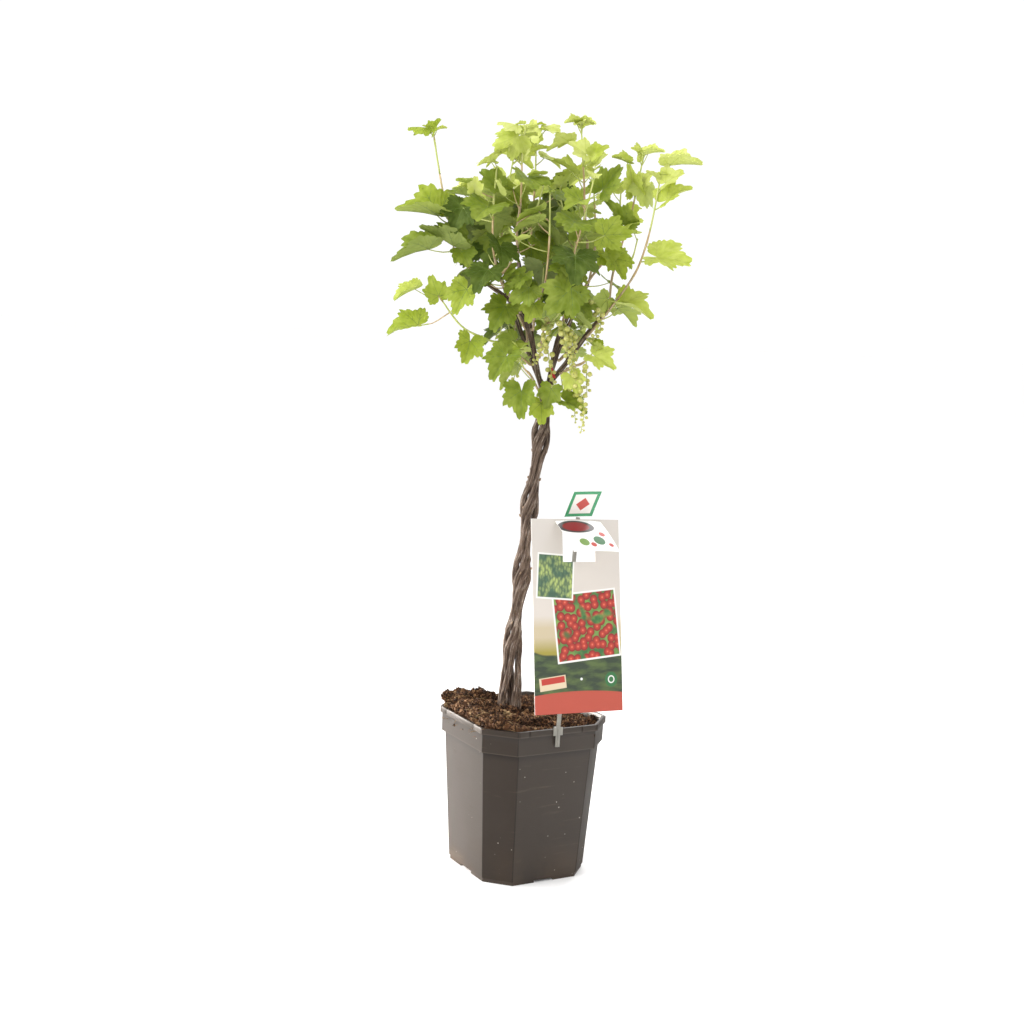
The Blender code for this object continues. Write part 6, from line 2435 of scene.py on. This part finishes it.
    def _stake(self, stake: Matrix, foot_away: float, foot_up: float) -> bpy.types.Object:
        """Model the stake and its clip in one piece: a ribbed strip, a crosspiece and the bent clip."""
        parts = []
        wide, thick, tall = self.stake_size
        parts.append(self._bar("stake_strip", (wide, thick, tall), stake))
        rib = stake @ Matrix.Translation((0.0, thick / 2, 0.004))
        parts.append(self._bar("stake_rib", (0.0016, 0.0012, tall - 0.03), rib))
        outer = -self.rim_half - GAP - 0.0008
        for name, size, place in (
            ("clip_front", (0.0065, 0.0015, 0.0265), (self.clip_middle, outer, 0.1895)),
            ("clip_rib", (0.0020, 0.0012, 0.0240), (self.clip_middle, outer - 0.0012, 0.1900)),
            ("clip_cross", (0.0140, 0.0014, 0.0108), (self.clip_middle, outer - 0.0001, 0.2050)),
            ("clip_top", (0.0065, 0.0090, 0.0015), (self.clip_middle, outer + 0.0035, self.rim_top + GAP)),
            ("clip_back", (0.0065, 0.0013, 0.0130), (self.clip_middle, outer + 0.0068, 0.2022)),
            ("clip_neck", (0.0056, 0.0016, 0.0060), (self.clip_middle, foot_away, foot_up - 0.0020)),
        ):
            parts.append(self._bar(name, size, Matrix.Translation(place)))
        pick_only(*parts)
        bpy.ops.object.join()
        made = bpy.context.active_object
        made.name = "label_stake_and_clip"
        made.data.name = made.name
        made.data.materials.clear()
        made.data.materials.append(PlainPlastic("stake_plastic", (0.30, 0.285, 0.245), 0.26, 0.25).make())
        smooth_below(made, 35.0)
        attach(made, "root")
        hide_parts("label_stake", "label_clip")
        return made

    @staticmethod
    def _bar(name: str, size: Sequence[float], place: Matrix) -> bpy.types.Object:
        """Model a bar with rounded edges, its foot's middle at the place."""
        pick_only()
        bpy.ops.mesh.primitive_cube_add(size=1.0)
        bar = bpy.context.active_object
        bar.name = name
        bar.data.transform(Matrix.Diagonal((*size, 1.0)) @ Matrix.Translation((0.0, 0.0, 0.5)))
        apply_modifier(bar, "BEVEL", width=min(size) * 0.28, segments=2)
        bar.data.transform(place)
        return bar

    @staticmethod
    def _marker_finish() -> bpy.types.Object:
        """Give the small three-cornered tag its plastic."""
        tag = bpy.data.objects["marker_tag"]
        tag.data.materials.clear()
        tag.data.materials.append(PlainPlastic("marker_red", (0.60, 0.025, 0.03), 0.35).make())
        return tag


# Studio


@dataclass
class Studio:
    """A pale floor, soft light and the camera of the front view."""

    camera_place: tuple = (-0.028, -1.994, 0.739)
    pitch: float = math.radians(7.27)
    roll: float = math.radians(2.78)
    sensor: float = 36.0
    lens: float = 1505.0 / 1024.0 * 36.0
    floor_colour: Colour = (0.96, 0.955, 0.95)
    floor_reach: float = 60.0
    world_light: float = 1.06
    lights: tuple = (
        ("key", (-1.6, -0.9, 1.9), (0.0, 0.0, 0.55), 1.5, 44.0),
        ("fill", (1.7, -1.6, 1.3), (0.0, 0.0, 0.5), 1.8, 9.0),
        ("rim", (0.5, 1.8, 1.8), (0.0, 0.0, 0.75), 1.4, 34.0),
    )
    edge: tuple = ("edge", (-2.6, 1.5, 0.32), (0.0, 0.0, 0.02), 0.8, 7.5, (1.0, 0.93, 0.86))
    edge_spread: float = math.radians(16.0)

    def make(self) -> None:
        """Build the studio."""
        self._camera()
        self._floor()
        for light in self.lights:
            self._light(*light)
        edge = self._light(*self.edge)
        edge.spread = self.edge_spread
        world = bpy.data.worlds.new("studio")
        world.use_nodes = True
        back = world.node_tree.nodes["Background"]
        back.inputs[0].default_value = (1.0, 1.0, 1.0, 1.0)
        back.inputs[1].default_value = self.world_light
        bpy.context.scene.world = world
        bpy.context.scene.view_settings.view_transform = "Standard"

    def _camera(self) -> None:
        """Add the camera."""
        data = bpy.data.cameras.new("camera")
        data.sensor_width = self.sensor
        data.lens = self.lens
        data.clip_start = 0.05
        camera = bpy.data.objects.new("camera", data)
        bpy.context.scene.collection.objects.link(camera)
        turn = Matrix.Rotation(-FRONT_TURN, 4, "Z") @ Matrix.Rotation(math.radians(90.0) - self.pitch, 4, "X")
        turn = turn @ Matrix.Rotation(self.roll, 4, "Z")
        camera.matrix_world = Matrix.Translation(from_front(self.camera_place)) @ turn
        bpy.context.scene.camera = camera

    def _floor(self) -> None:
        """Add the floor."""
        pick_only()
        bpy.ops.mesh.primitive_circle_add(vertices=96, radius=self.floor_reach, fill_type="NGON")
        floor = bpy.context.active_object
        floor.name = "floor"
        maker = Maker("floor_paper")
        cloud = maker.noise(maker.coordinates(), 0.8, 2.0)
        darker = tuple(value * 0.985 for value in self.floor_colour)
        floor.data.materials.append(
            maker.surface(Base_Color=maker.mix(cloud, self.floor_colour, darker), Roughness=0.9)
        )

    @staticmethod
    def _light(
        name: str,
        place: Sequence[float],
        target: Sequence[float],
        size: float,
        power: float,
        tint: Colour = (1.0, 1.0, 1.0),
    ) -> bpy.types.Light:
        """Add a square soft light at a front view place, turned to its target, and return its data."""
        data = bpy.data.lights.new(name, "AREA")
        data.shape = "SQUARE"
        data.size = size
        data.energy = power
        data.color = tint
        light = bpy.data.objects.new(name, data)
        bpy.context.scene.collection.objects.link(light)
        start = from_front(place)
        way = from_front(target) - start
        light.matrix_world = Matrix.Translation(start) @ way.to_track_quat("-Z", "Y").to_matrix().to_4x4()
        return data


def main() -> None:
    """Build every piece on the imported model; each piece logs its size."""
    logging.basicConfig(level=logging.INFO, format="%(name)s: %(message)s")
    for obj in list(bpy.data.objects):
        bpy.data.objects.remove(obj)
    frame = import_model()
    Studio().make()
    Pot().make(frame["nodes"])
    Mulch().make(frame["nodes"])
    wood = Wood(Plait())
    limbs, boughs = wood.limbs()
    wood.make(limbs, boughs)
    growth = Growth(limbs)
    growth.grow(boughs)
    LOG.info("leaves: %d", sum(len(mass.leaves) for mass in growth.masses.values()))
    Foliage(growth).make()
    Label().make()
    bpy.context.view_layer.update()


if __name__ == "__main__":
    main()
